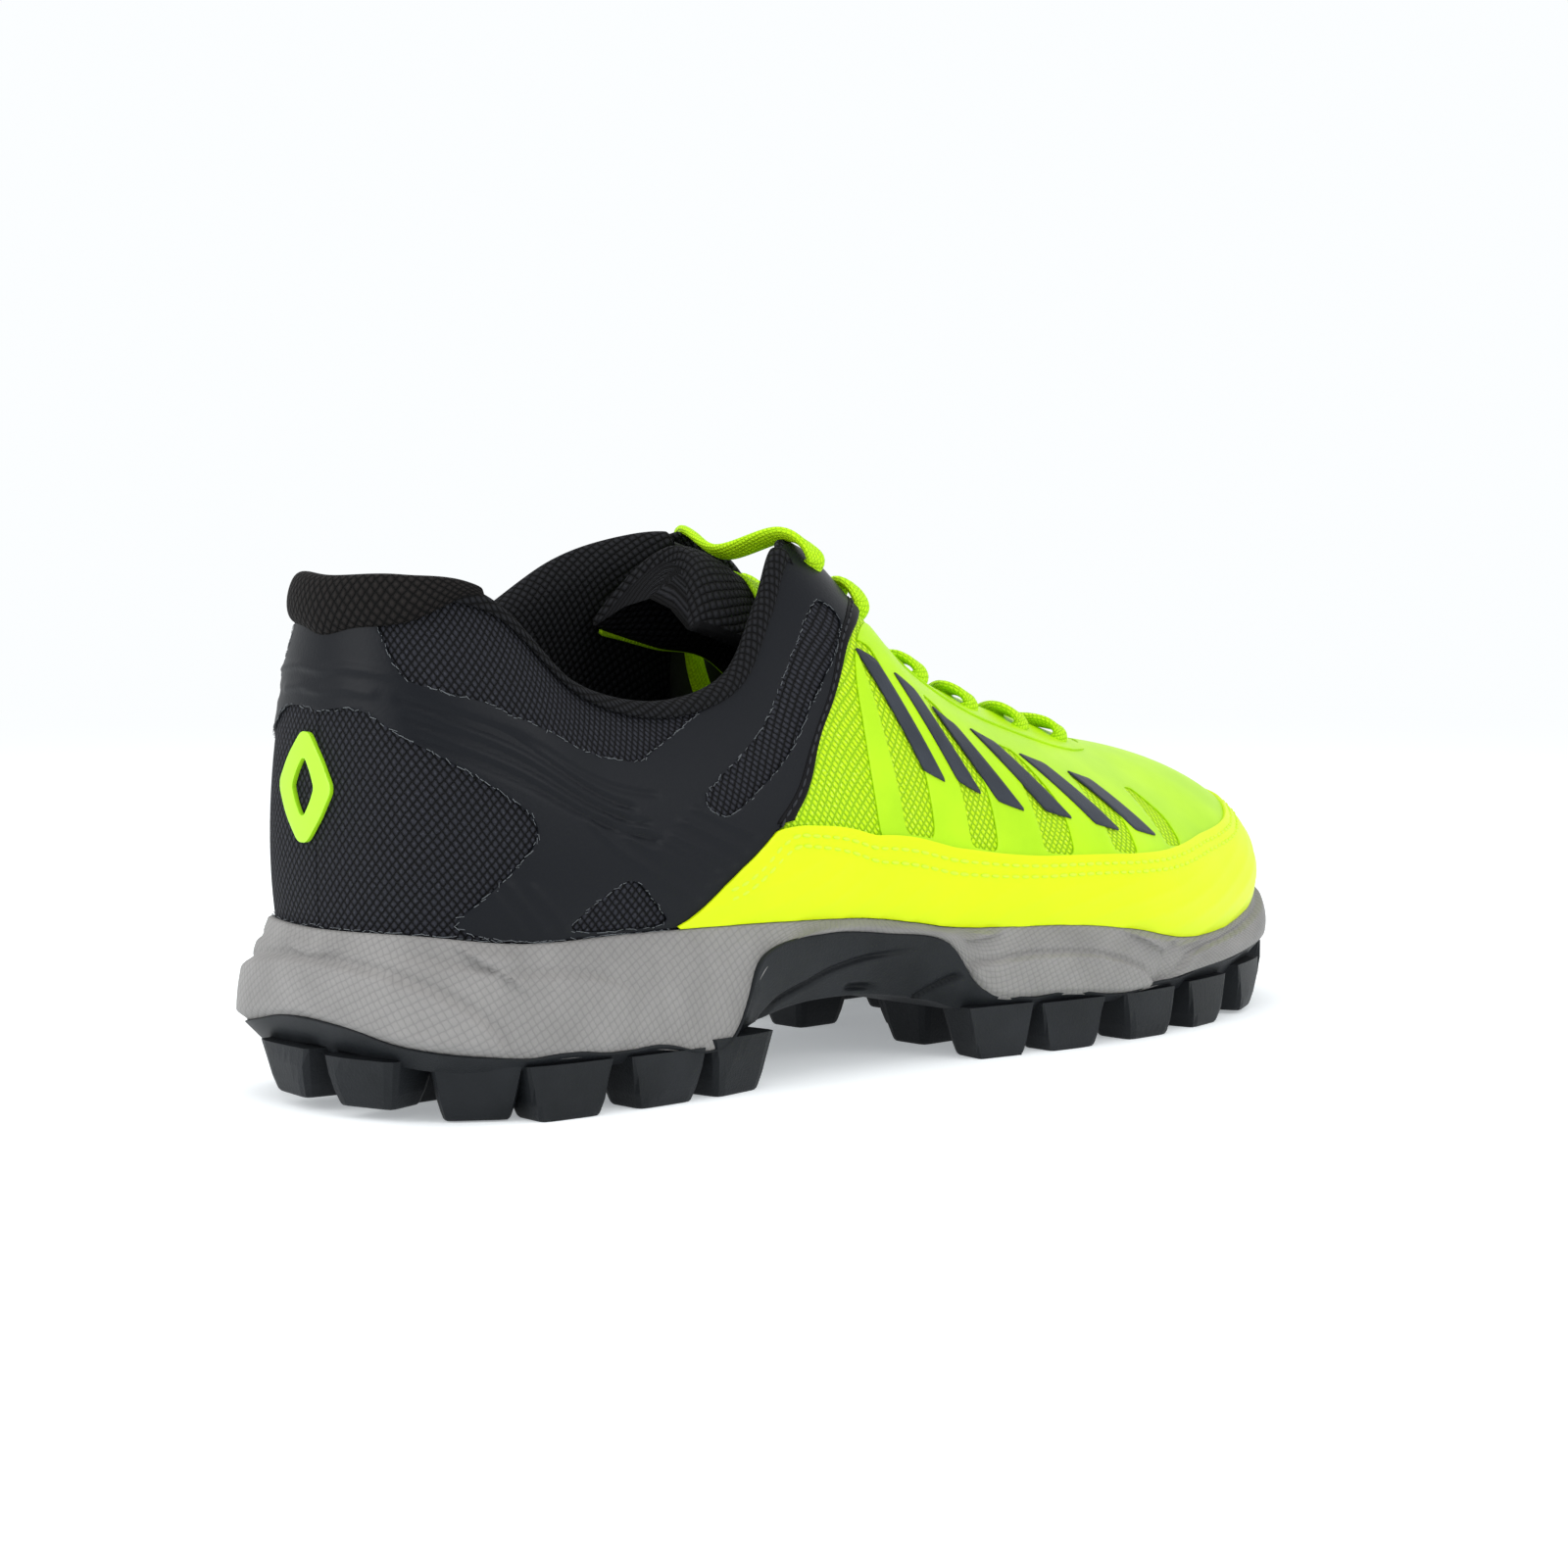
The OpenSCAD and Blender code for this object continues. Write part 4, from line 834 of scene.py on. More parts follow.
# Painted light: the emission gives the lime film a faint painted glow.
lime_film = coated("lime_film", (60.0, 4.0), (1500.0, 2.0, 0.5), (0.3, 0.00012),
                   ((0.33, 0.60, 0.001), (0.41, 0.68, 0.002), 0.3, 0.7), Specular_IOR_Level=0.2, Roughness=0.42,
                   Emission_Color=(0.40, 0.80, 0.0, 1), Emission_Strength=0.06)
lower = [(p, float(rand_height(p)) - 0.03) for p in np.linspace(6.35, 16, 20)]
upper = [(16, 0.965), (14.4, 0.95), (13.2, 0.93), (11.0, 0.90), (9.3, 0.885), (8.3, 0.86), (7.9, 0.82), (6.95, 0.66),
         (6.5, 0.45)]


def other_side(line):
    return line * mirror + np.array([whole_lap, 0])


half_film = rounded(upper + lower, closed=False)
stripes = []
for centre, half in stripe_centres:
    base, top, lean = float(rand_height(centre)) + 0.006, 0.74 - 0.012 * (centre - 7), 0.16
    stripes.append(rounded([(centre - half, base), (centre + half, base), (centre + half + lean, (base + top) / 2),
                            (centre + half * 0.7 + lean, top), (centre - half * 0.5 + lean, top),
                            (centre - half + lean * 0.6, (base + top) / 2)], cut_back=0.1))
stripes += [other_side(stripe) for stripe in stripes]
film_outline = np.concatenate([half_film, other_side(half_film[::-1][1:-1])])
vamp_film = cut_sheet("vamp_film", film_outline, stripes, 0.36, 0.03, 1.0)
vamp_film.data.materials.append(lime_film)
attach(vamp_film, "shoe")
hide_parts("vamp_bands_right", "vamp_bands_left")

# ---- Eyestays
# A second strip of the same lime film on each side of the throat, which carries the lace holes.
for side_name, sign in (("right", 1), ("left", -1)):
    outline = [(8.7, 0.90), (9.5, 0.86), (10.8, 0.855), (12.0, 0.85), (13.2, 0.90), (13.2, 0.999), (8.7, 0.999)]
    eyestay = cut_sheet("eyestay_" + side_name, rounded(outline, times=1), (), 0.8, 0.03, 1.0, None, sign)
    eyestay.data.materials.append(lime_film)
    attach(eyestay, "shoe")
    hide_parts("eyestay_" + side_name)

# ---- Toe rand
# Yellow coated film, nearly a millimetre thick, stitched and glued round the front of the upper. It runs to a
# point at the bottom of each quarter, and two rows of lime lockstitch follow its upper edge.
upper_rand = [(p, float(rand_height(p))) for p in np.linspace(4.72, 16, 60)]
rear_rand = [(3.42, 0.012), (3.6, 0.055), (4.0, 0.205), (4.5, 0.335), (4.62, 0.362)]
right_edge = rear_rand + upper_rand[1:]
left_edge = [(whole_lap - p, v) for p, v in right_edge[::-1][1:]]
bottom_edge = [(p, 0.012) for p in np.linspace(28.4, 3.6, 60)]


def rand_relief(u, v):
    """A thick rolled upper edge, two sunk stitch lines, and shallow slanted ridges below them."""
    u = np.where(u > half_lap, whole_lap - u, u)
    wide, tall = cloth_scale
    below = (rand_height(np.clip(u, 4.72, 16)) - v) * tall
    ridge = np.abs(((u * wide - v * tall * 1.9) / 11.0) % 1 - 0.5) * 2
    lines = [height * np.exp(-((below - at) / reach) ** 2)
             for height, at, reach in ((0.10, 0, 1.2), (-0.30, 2.45, 0.55), (-0.30, 5.0, 0.55))]
    return sum(lines) + 0.14 * smooth_step((ridge - 0.55) / 0.3) * smooth_step((below - 6) / 3)


rand_outline = rounded(right_edge + left_edge + bottom_edge, times=1)
toe_rand = cut_sheet("yellow_toe_rand", rand_outline, (), 0.95, 0.05, 1.0, rand_relief)
# Painted light: the emission gives the yellow rand a faint painted glow.
rand_film = coated("rand_film", (45.0, 4.0), (1300.0, 2.0, 0.5), (0.3, 0.00012),
                   ((0.56, 0.72, 0.0005), (0.64, 0.78, 0.0005)), Roughness=0.42, Specular_IOR_Level=0.2,
                   Emission_Color=(0.75, 1.0, 0.0, 1), Emission_Strength=0.05)
toe_rand.data.materials.append(rand_film)
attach(toe_rand, "shoe")
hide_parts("toe_rand")


def stitch_row(name, points, normals, pitch, length, thick, material):
    """Lockstitches set along a line by Geometry Nodes: one small capsule of thread every pitch."""
    mesh = bpy.data.meshes.new(name)
    mesh.from_pydata([tuple(q) for q in points], [(k, k + 1) for k in range(len(points) - 1)], [])
    up = mesh.attributes.new("up", "FLOAT_VECTOR", "POINT")
    up.data.foreach_set("vector", np.asarray(normals, np.float32).ravel())
    row = add_object(name, mesh)
    tree = bpy.data.node_groups.new(name + "_tree", "GeometryNodeTree")
    for way in ("INPUT", "OUTPUT"):
        tree.interface.new_socket("Geometry", in_out=way, socket_type="NodeSocketGeometry")
    sizes = {}
    for label, value in (("Pitch", pitch), ("Length", length), ("Thickness", thick), ("Seed", 3)):
        kind = "NodeSocketInt" if label == "Seed" else "NodeSocketFloat"
        sizes[tree.interface.new_socket(label, in_out="INPUT", socket_type=kind).identifier] = value
    given, result, to_curve, even, ups, along_line, off_line, bead, stretch, wobble, place, real, paint = (
        tree.nodes.new(kind) for kind in (
            "NodeGroupInput", "NodeGroupOutput", "GeometryNodeMeshToCurve", "GeometryNodeCurveToPoints",
            "GeometryNodeInputNamedAttribute", "FunctionNodeAlignRotationToVector",
            "FunctionNodeAlignRotationToVector", "GeometryNodeMeshIcoSphere", "GeometryNodeTransform",
            "FunctionNodeRandomValue", "GeometryNodeInstanceOnPoints", "GeometryNodeRealizeInstances",
            "GeometryNodeSetMaterial"))
    half_length, half_thick = (add_node(tree.nodes, "Math", operation="MULTIPLY") for _ in range(2))
    half_length.inputs[1].default_value = half_thick.inputs[1].default_value = 0.5
    size = add_node(tree.nodes, "CombineXYZ")
    even.mode, ups.data_type = "LENGTH", "FLOAT_VECTOR"
    ups.inputs["Name"].default_value = "up"
    along_line.axis, off_line.axis, off_line.pivot_axis = "X", "Z", "X"
    bead.inputs["Subdivisions"].default_value, bead.inputs["Radius"].default_value = 2, 1.0
    wobble.inputs[2].default_value, wobble.inputs[3].default_value = 0.9, 1.12
    paint.inputs["Material"].default_value = material
    join(tree.links, (given, "Geometry", to_curve, "Mesh"), (to_curve, "Curve", even, "Curve"),
         (given, "Pitch", even, "Length"), (even, "Tangent", along_line, "Vector"),
         (along_line, "Rotation", off_line, "Rotation"), (ups, "Attribute", off_line, "Vector"),
         (given, "Length", half_length, 0), (given, "Thickness", half_thick, 0), (half_length, 0, size, "X"),
         (half_thick, 0, size, "Y"), (half_thick, 0, size, "Z"), (bead, "Mesh", stretch, "Geometry"),
         (size, "Vector", stretch, "Scale"), (even, "Points", place, "Points"),
         (stretch, "Geometry", place, "Instance"), (off_line, "Rotation", place, "Rotation"),
         (given, "Seed", wobble, "Seed"), (wobble, 1, place, "Scale"), (place, "Instances", real, "Geometry"),
         (real, "Geometry", paint, "Geometry"), (paint, "Geometry", result, "Geometry"))
    grow = row.modifiers.new("stitches", "NODES")
    grow.node_group = tree
    for identifier, value in sizes.items():
        grow[identifier] = value
    row.data = bpy.data.meshes.new_from_object(row.evaluated_get(bpy.context.evaluated_depsgraph_get()))
    row.modifiers.clear()
    row.data.name = name
    smooth_all(row.data)
    return row


def line_on_face(p, v, depth):
    """A line on the upper and the outward direction at each of its points."""
    points, raised = (off_face(p, v, np.full(np.shape(p), height)) for height in (depth, depth + 1.0))
    return points, (raised - points) / mm


def evened(values, reach):
    """Each value replaced by the mean of those within reach of it."""
    return np.convolve(np.pad(values, reach, mode="edge"), np.ones(2 * reach + 1) / (2 * reach + 1), mode="valid")


lime_thread, *_ = finish("lime_thread", Base_Color=(0.58, 0.82, 0.03, 1), Roughness=0.7)
for row_name, below in (("upper", 0.036), ("lower", 0.074)):
    row_p = np.concatenate([np.linspace(4.0, 4.72, 16), np.linspace(4.72, 16, 260)[1:]])
    row_v = rand_height(row_p) - below - 0.03 * np.clip((4.72 - row_p) / 0.5, 0, 1)
    row_p = np.concatenate([row_p, whole_lap - row_p[::-1][1:]])
    row_v = evened(np.concatenate([row_v, row_v[::-1][1:]]), 4)
    stitches = stitch_row("rand_stitches_" + row_name, *line_on_face(row_p, row_v, 0.80), 0.0027, 0.0021, 0.00075,
                          lime_thread)
    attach(stitches, "shoe")

# ---- Quarter bindings
# The front edge of each black quarter is folded over and laid on the vamp, then sewn down with black thread a
# little behind the fold.
black_cord, *_ = finish("black_cord", Base_Color=(0.003, 0.003, 0.004, 1), Roughness=0.5, Specular_IOR_Level=0.1)
dull_thread, *_ = finish("dull_thread", Base_Color=(0.020, 0.021, 0.026, 1), Roughness=0.6, Specular_IOR_Level=0.2)


def tube_faces(count, around):
    return [(r * around + k, r * around + (k + 1) % around, (r + 1) * around + (k + 1) % around, (r + 1) * around + k)
            for r in range(count - 1) for k in range(around)]


heights = np.linspace(0.38, 0.992, 70)
fold = evened(edge_lap(heights), 3)
fold_profile = [(-0.17, 0.50), (-0.13, 0.62), (-0.05, 0.72), (0.02, 0.80), (0.07, 0.60), (0.08, 0.15), (0.02, 0.03)]
fold_caps = [tuple(range(7)), tuple(69 * 7 + k for k in range(6, -1, -1))]
for side_name, sign in (("right", 1), ("left", -1)):
    tube = np.stack([off_face(sign * (fold + a), heights, np.full(70, d)) for a, d in fold_profile], 1)
    binding = as_mesh("quarter_fold_" + side_name, tube.reshape(-1, 3), tube_faces(70, 7) + fold_caps)
    turn_out(binding, merge=True)
    binding.data.materials.append(black_cord)
    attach(binding, "shoe")
    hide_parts("quarter_binding_" + side_name)
    stitches = stitch_row("fold_stitches_" + side_name, *line_on_face(sign * (fold - 0.09), heights, 0.74), 0.0026,
                          0.0021, 0.0005, dull_thread)
    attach(stitches, "shoe")

# ---- Side marks
# Six plain slanted bars of dark rubbery print on each side of the vamp.
print_rubber = grain_rubber("print_rubber", (0.022, 0.027, 0.036), (0.040, 0.047, 0.060), 0.42, 1600.0, 0.0001)
bar_half = 0.21
for side_name, sign in (("right", 1), ("left", -1)):
    bars = bmesh.new()
    for number, centre in enumerate((7.9, 8.6, 9.3, 10.1, 10.9, 11.7)):
        foot_v, head_v = 0.43 + 0.012 * (number % 2), 0.70 - 0.012 * (number % 3)
        head = centre - 0.55 * (head_v - foot_v) / 0.3
        bar_outline = [(centre + bar_half, foot_v), (head + bar_half, head_v), (head - bar_half, head_v + 0.01),
                       (centre - bar_half, foot_v + 0.01)]
        bar = cut_sheet("bar", rounded(bar_outline, times=1, cut_back=0.04), (), 0.66, 0.30, 0.8, None, sign)
        bars.from_mesh(bar.data)
        bpy.data.objects.remove(bar)
    bar_mesh = bpy.data.meshes.new("side_bars_" + side_name)
    bars.to_mesh(bar_mesh)
    bars.free()
    side_bars = add_object("side_bars_" + side_name, bar_mesh)
    bar_mesh.materials.append(print_rubber)
    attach(side_bars, "shoe")
    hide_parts("side_marks_" + side_name)

# ---- Heel emblem
# A plain lozenge of raised lime rubber on the back of the heel.
emblem_widths = [(0.24, 0.06), (0.31, 0.24), (0.39, 0.38), (0.47, 0.24), (0.54, 0.06)]
emblem_outline = [(-0.15 + w, v) for v, w in emblem_widths] + [(-0.15 - w, v) for v, w in emblem_widths[::-1]]
emblem_hole = [(-0.15 + (q + 0.15) * 0.42, 0.39 + (v - 0.39) * 0.52) for q, v in emblem_outline]
heel_emblem = cut_sheet("heel_lozenge", rounded(emblem_outline, cut_back=0.15), [rounded(emblem_hole, cut_back=0.15)],
                        1.0, 0.04, 0.5)
# Painted light: the emission gives the lime emblem a faint painted glow.
emblem_rubber, *_ = finish("emblem_rubber", Base_Color=(0.36, 0.74, 0.010, 1), Roughness=0.38,
                           Emission_Color=(0.4, 0.8, 0.0, 1), Emission_Strength=0.04)
heel_emblem.data.materials.append(emblem_rubber)
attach(heel_emblem, "shoe")
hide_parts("heel_emblem")

# ---- Collar
# A roll of soft foam in knitted spacer mesh round the mouth of the shoe. It is sewn outside just below the top
# edge, turned over it, and runs down inside to the board.
roll_inside = [(-0.035, -2.2), (0.02, -3.6), (0.16, -4.0), (0.32, -4.6), (0.46, -5.6), (0.60, -6.5), (0.72, -7.0),
               (0.83, -7.0), (0.90, -6.3), (0.95, -5.2), (0.985, -3.7)]
roll_outside = [(0.0, -1.7), (0.3, -0.1), (1.3, 1.15), (2.7, 1.75), (4.1, 1.65), (5.0, 1.15), (5.3, 0.35)]
roll_back = [(0.955, 0.06), (0.962, -0.4), (0.95, -1.12), (0.75, -1.15), (0.5, -1.15), (0.25, -1.15), (0.03, -1.2),
             (-0.035, -1.3)]


def below_top(p, drop):
    """Height fraction that lies drop millimetres below the top edge."""
    reach = norm(upper_face(p, 1.0) - upper_face(p, 0.85), axis=-1) / 0.15 / mm
    return 1 - drop / reach


def closed_tube(name, rings, drawn_in=1.0):
    """A closed skin through rings of points, each end drawn in and capped. Rings are rows of equal length."""
    rings = np.asarray(rings)
    count, around = rings.shape[:2]
    centres = rings.mean(1, keepdims=True)
    inset = np.ones(count)
    inset[[0, -1]], inset[[1, -2]] = drawn_in, (1 + drawn_in) / 2 + (1 - drawn_in) * 0.28
    rings = centres + (rings - centres) * inset[:, None, None]
    end, last = count * around, (count - 1) * around
    faces = tube_faces(count, around) + [(end, (k + 1) % around, k) for k in range(around)]
    faces += [(end + 1, last + k, last + (k + 1) % around) for k in range(around)]
    girth, run = run_along(rings.swapaxes(0, 1)), run_along(rings)
    uv = np.stack(np.broadcast_arrays(run[:, None], girth[None]), -1).reshape(-1, 2)
    piece = as_mesh(name, np.concatenate([rings.reshape(-1, 3), centres[[0, -1], 0]]), faces,
                    np.concatenate([uv, [[run[0], 0], [run[-1], 0]]]) / mm)
    turn_out(piece)
    return piece


def plump(piece, held, pressure=4.0, cap=0.0014, stiffness=12.0, frames=20):
    """Blow the skin up a little over its foam as cloth does, held at its seams, then smooth it once."""
    group = piece.vertex_groups.new(name="seams")
    group.add([int(k) for k in held], 1.0, "REPLACE")
    rest = np.array([v.co for v in piece.data.vertices])
    cloth = piece.modifiers.new("cloth", "CLOTH")
    how = cloth.settings
    how.quality, how.mass, how.vertex_group_mass = 6, 0.25, "seams"
    how.tension_stiffness = how.compression_stiffness = how.shear_stiffness = stiffness
    how.bending_stiffness = 0.4
    how.use_pressure, how.uniform_pressure_force = True, pressure
    how.effector_weights.gravity = 0
    cloth.collision_settings.use_collision = cloth.collision_settings.use_self_collision = False
    cloth.point_cache.frame_start, cloth.point_cache.frame_end = 1, frames
    for moment in range(1, frames + 1):
        bpy.context.scene.frame_set(moment)
    swollen = piece.evaluated_get(bpy.context.evaluated_depsgraph_get())
    shape = np.array([v.co for v in swollen.data.vertices])
    move = shape - rest
    length = norm(move, axis=1, keepdims=True)
    move *= np.minimum(1, cap / np.maximum(length, 1e-9))
    piece.modifiers.clear()
    bpy.context.scene.frame_set(1)
    piece.data.vertices.foreach_set("co", (rest + move).ravel())
    piece.data.update()
    smooth = piece.modifiers.new("smooth", "SUBSURF")
    smooth.levels = smooth.render_levels = 1
    piece.data = bpy.data.meshes.new_from_object(piece.evaluated_get(bpy.context.evaluated_depsgraph_get()))
    piece.modifiers.clear()
    smooth_all(piece.data)


def knit(name, shaded_gap, lit_crown, width, height, depth, angle):
    """Knitted spacer mesh: plump loops of yarn in slanted rows, with painted shade in the holes between them and
    painted highlights and glints on the loops.
    """
    return woven(name, shaded_gap, lit_crown, lit_crown, width, height, depth, rough=0.85, angle=angle)


collar_steps = 118
collar_laps = np.linspace(-6.95, 6.95, collar_steps)
collar_path = [(v, d) for v, d in roll_inside] + [(below_top(collar_laps, a), d) for a, d in roll_outside] + roll_back
rings = [off_face(collar_laps, v, np.full(collar_steps, d)) for v, d in collar_path]
collar = closed_tube("collar_roll", np.stack(rings, 1))
around = len(collar_path)
sewn_rows = [0, 1] + list(range(len(roll_inside) + len(roll_outside) - 1, around))
end_caps = [collar_steps * around, collar_steps * around + 1]
plump(collar, [r * around + k for r in range(collar_steps) for k in sewn_rows] + end_caps)
# Painted light: the collar knit has painted shade in its holes and painted highlights and glints on its loops.
collar_knit = knit("collar_knit", (0.0008, 0.0008, 0.001), (0.012, 0.0125, 0.015), 2.1, 1.1, 0.0008, 24)
collar.data.materials.append(collar_knit)
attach(collar, "shoe")
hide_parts("collar_lining", "collar_foam")

# ---- Heel pad
# A plump patch of brownish black spacer mesh over the back of the heel. Its lower edge is tucked under the film
# in a curve that sweeps up at both ends to meet the collar.
pad_steps = 44
pad_laps = np.linspace(-1.95, 1.95, pad_steps)
pad_low = np.interp(np.abs(pad_laps), [0, 0.3, 0.9, 1.25, 1.6, 1.95], [0.800, 0.832, 0.838, 0.875, 0.935, 0.975])
pad_low = evened(pad_low, 2)
pad_rise = [(0.0, 0.45), (0.05, 1.35), (0.16, 2.1), (0.32, 2.6), (0.5, 2.8), (0.68, 2.75), (0.84, 2.45), (0.95, 1.7),
            (1.0, 0.6), (1.02, -0.9), (0.985, -1.6), (0.97, -0.6), (0.9, 0.1), (0.6, 0.1), (0.3, 0.08), (0.03, 0.06)]
thin_out = smooth_step((1.99 - np.abs(pad_laps)) / 0.55)
rings = [off_face(pad_laps, pad_low + (1 - pad_low) * f, np.where(d > 0.3, 1.0 + (d - 1.0) * thin_out, d))
         for f, d in pad_rise]
heel_pad = closed_tube("heel_cushion", np.stack(rings, 1))
around = len(pad_rise)
sewn_rows, end_caps = (0, *range(9, around)), [pad_steps * around, pad_steps * around + 1]
plump(heel_pad, [r * around + k for r in range(pad_steps) for k in sewn_rows] + end_caps)
# Painted light: the heel knit has painted shade in its holes and painted highlights and glints on its loops.
heel_pad.data.materials.append(knit("heel_knit", (0.0012, 0.001, 0.001), (0.013, 0.011, 0.0105), 1.9, 1.0, 0.0008, 0))
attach(heel_pad, "shoe")
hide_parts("heel_pad")

# ---- Tongue
# A padded strip under the lace: lime woven cloth on its face, knitted mesh inside and over its rounded top. It is
# sewn down in front, where the throat of the vamp ends.
tongue_middle = np.array([
    [211, 0, 58], [203, 0, 59.4], [189, 0, 63.5], [172, 0, 68.5], [154, 0, 75], [138, 0, 84.6], [124, 0, 96.8],
    [111, 0, 103], [103, 0, 107.4], [97, 0, 108.4]]) * mm
tongue_side = np.array([
    [211, 8, 56.6], [203, 12, 56.8], [189, 15.5, 58.6], [172, 18, 62], [154, 20, 66.8], [139, 20.5, 75],
    [121, 19, 86.5], [105, 18, 89], [95, 18.3, 91.5], [89, 17.5, 93]]) * mm
tongue_lean = np.array([0.4, 0.4, 0.4, 0.4, 0.4, 0.4, 0.4, 1, 2, 2.4]) * mm


def smooth_at(values, x):
    """Smooth curve through evenly spaced values, with free ends."""
    ends = np.concatenate([[2 * values[0] - values[1]], values, [2 * values[-1] - values[-2]]])
    i = np.clip(np.floor(x).astype(int), 0, len(values) - 2)
    f = x - i
    return through(ends, i, f[..., None] if values.ndim == 2 else f)


def tongue_face(a, b):
    """Outer face of the tongue at station a, from its sewn base, and share b of its half width."""
    mid, edge, lean = smooth_at(tongue_middle, a), smooth_at(tongue_side, a), smooth_at(tongue_lean, a)
    curved = mid + (edge - mid) * (b * b)[..., None]
    return np.stack([curved[..., 0], b * edge[..., 1] + lean, curved[..., 2]], -1) + middle


def off_tongue(a, b, depth):
    """A point depth millimetres under the tongue's face."""
    here, step = tongue_face(a, b), 0.01
    normal = np.cross(tongue_face(a + step, b) - here, tongue_face(a, b + step) - here)
    normal /= norm(normal, axis=-1, keepdims=True)
    normal *= np.where(normal[..., 2:3] > 0, -1, 1)
    return here + normal * (np.asarray(depth, float)[..., None] * mm)


a_steps = np.concatenate([np.linspace(0, 8.8, 55), [8.9, 8.98, 9.03]])
fullness = np.concatenate([np.ones(55), [0.88, 0.62, 0.0]])
across_steps = np.linspace(-1, 1, 15)
rings = []
for a, full in zip(a_steps, fullness):
    # The lining rolls over the top, so the pad stands proud of the cloth beyond the cloth's upper edge.
    front = 1.05 - 0.9 * float(smooth_step(np.array((a - 6.8) / 0.5)))
    thick = (7.2 - front) * min(1, 0.45 + 0.25 * a)
    swell = 1 - 0.4 * across_steps ** 4
    centre = front + thick * 0.5
    face = off_tongue(np.full(15, a), across_steps, centre + (front - centre) * np.full(15, full))
    back = off_tongue(np.full(15, a), across_steps[::-1], centre + (front + thick * swell[::-1] - centre) * full)
    rim = off_tongue(np.array([a, a]), np.array([1.0 + 0.03 * full, -1.0 - 0.03 * full]),
                     centre + (front + thick * 0.3 - centre) * np.full(2, full))
    rings.append(np.concatenate([face, rim[:1], back, rim[1:]]))
tongue_pad = closed_tube("tongue_padding", rings)
turn_out(tongue_pad, merge=True)
sewn = [k for k, q in enumerate(tongue_pad.data.vertices) if q.co.x > 0.066]
plump(tongue_pad, sewn, 4.0, 0.0012)
tongue_pad.data.materials.append(collar_knit)
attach(tongue_pad, "tongue")
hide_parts("tongue_lining", "tongue_foam")

cloth_rows, cloth_columns = 90, 40
a_share, b_grid = np.meshgrid(np.linspace(0, 1, cloth_rows), np.linspace(-1.05, 1.05, cloth_columns), indexing="ij")
a_grid = a_share * (6.9 + 1.7 * smooth_step((b_grid - 0.55) / 0.4))
edge_wrap = 3.2 * smooth_step((np.abs(b_grid) - 0.93) / 0.12)
points = np.concatenate([off_tongue(a_grid, b_grid, depth + edge_wrap).reshape(-1, 3) for depth in (0.05, 1.0)])
flat = np.stack([(9 - a_grid) * 14.0, b_grid * 18.0], -1).reshape(-1, 2)
tongue_cloth = as_mesh("tongue_cloth", points, layer_faces(cloth_rows, cloth_columns), np.tile(flat, (2, 1)))
turn_out(tongue_cloth, merge=True)
# Painted light: the tongue weave has painted highlights and glints on its floats, painted shade in its gaps, and a
# faint painted glow from its emission.
tongue_cloth.data.materials.append(woven(
    "tongue_weave", (0.28, 0.55, 0.004), (0.50, 0.82, 0.012), (0.65, 0.9, 0.15), 1.5, 0.75, 0.0004, 0.7, 45,
    Emission_Color=(0.4, 0.8, 0.0, 1), Emission_Strength=0.04))
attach(tongue_cloth, "tongue")
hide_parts("tongue_cover")

# ---- Lace and its tips
# One flat braided lace, threaded down through both eyestays from the top and crossed over the tongue. Its ends
# are tucked down inside, and each is bound in a clear plastic tip.
over_hole = [[197, 16.5, 65], [182, 18.5, 68.2], [165, 19, 73.3], [149.5, 19, 80.4], [131.8, 18.6, 95.4],
             [117.5, 19.3, 105]]
over_edge = [[194.5, 12, 67.5], [180.5, 13.5, 71], [163.5, 13.8, 76.2], [148, 13.6, 83.5], [130.5, 13.8, 99.7],
             [113, 14.8, 110.2]]
under_hole = [[195.5, 14.5, 60], [180.5, 16.2, 63.3], [163.5, 16.8, 68.4], [147, 16.8, 75.9], [128.1, 16.3, 91.9],
              [116.3, 15.6, 101]]
under_edge = [[193, 10, 62.3], [179, 11.5, 66], [162, 11.9, 71.2], [145.2, 12, 79], [126.4, 12.1, 96.3],
              [114.7, 12, 105.8]]
crossing = [[187, 65.8], [171.5, 70.4], [155, 76.8], [138.5, 87]]
long_tail = [[117.5, 18, 96], [120, 21.5, 88], [125, 24.5, 78], [133, 27, 68], [145, 29, 60], [160, 30, 54],
             [176, 29.5, 50]]
short_tail = [[131, 20.5, 86], [137, 23, 77], [146, 24.5, 69], [158, 25, 62.5], [172, 24, 57], [186, 22.5, 53]]


def at_side(point, side):
    return [point[0], point[1] * side, point[2]]


def cross_over(i, side, lift):
    return [at_side(under_hole[i], side), at_side(under_edge[i], side), [crossing[i][0], 0, crossing[i][1] + lift],
            at_side(over_edge[i + 1], -side), at_side(over_hole[i + 1], -side)]


strand_a = (cross_over(0, -1, 0) + cross_over(1, 1, 2) + cross_over(2, -1, 0) + cross_over(3, 1, 2)
            + [at_side(under_hole[4], -1), [122, -15.5, 97], at_side(under_hole[5], -1), at_side(over_hole[5], -1),
               at_side(over_edge[5], -1), [109, 0, 106.4], over_edge[5], over_hole[5], under_hole[5]] + long_tail)
strand_b = (cross_over(0, 1, 2) + cross_over(1, -1, 0) + cross_over(2, 1, 2) + cross_over(3, -1, 0)
            + [under_hole[4]] + short_tail)
lace_route = np.array(strand_b[::-1] + [over_hole[0], over_edge[0], [190.5, 0, 67.2], at_side(over_edge[0], -1),
                                        at_side(over_hole[0], -1)] + strand_a, float) * mm + middle
lace_half_width, lace_half_thick, spans = 2.7, 0.95, len(lace_route) - 1
walk = np.linspace(0, spans, spans * 14 + 1)
lace_line = smooth_at(lace_route, walk)
tangent = np.gradient(lace_line, axis=0)
tangent /= norm(tangent, axis=1, keepdims=True)
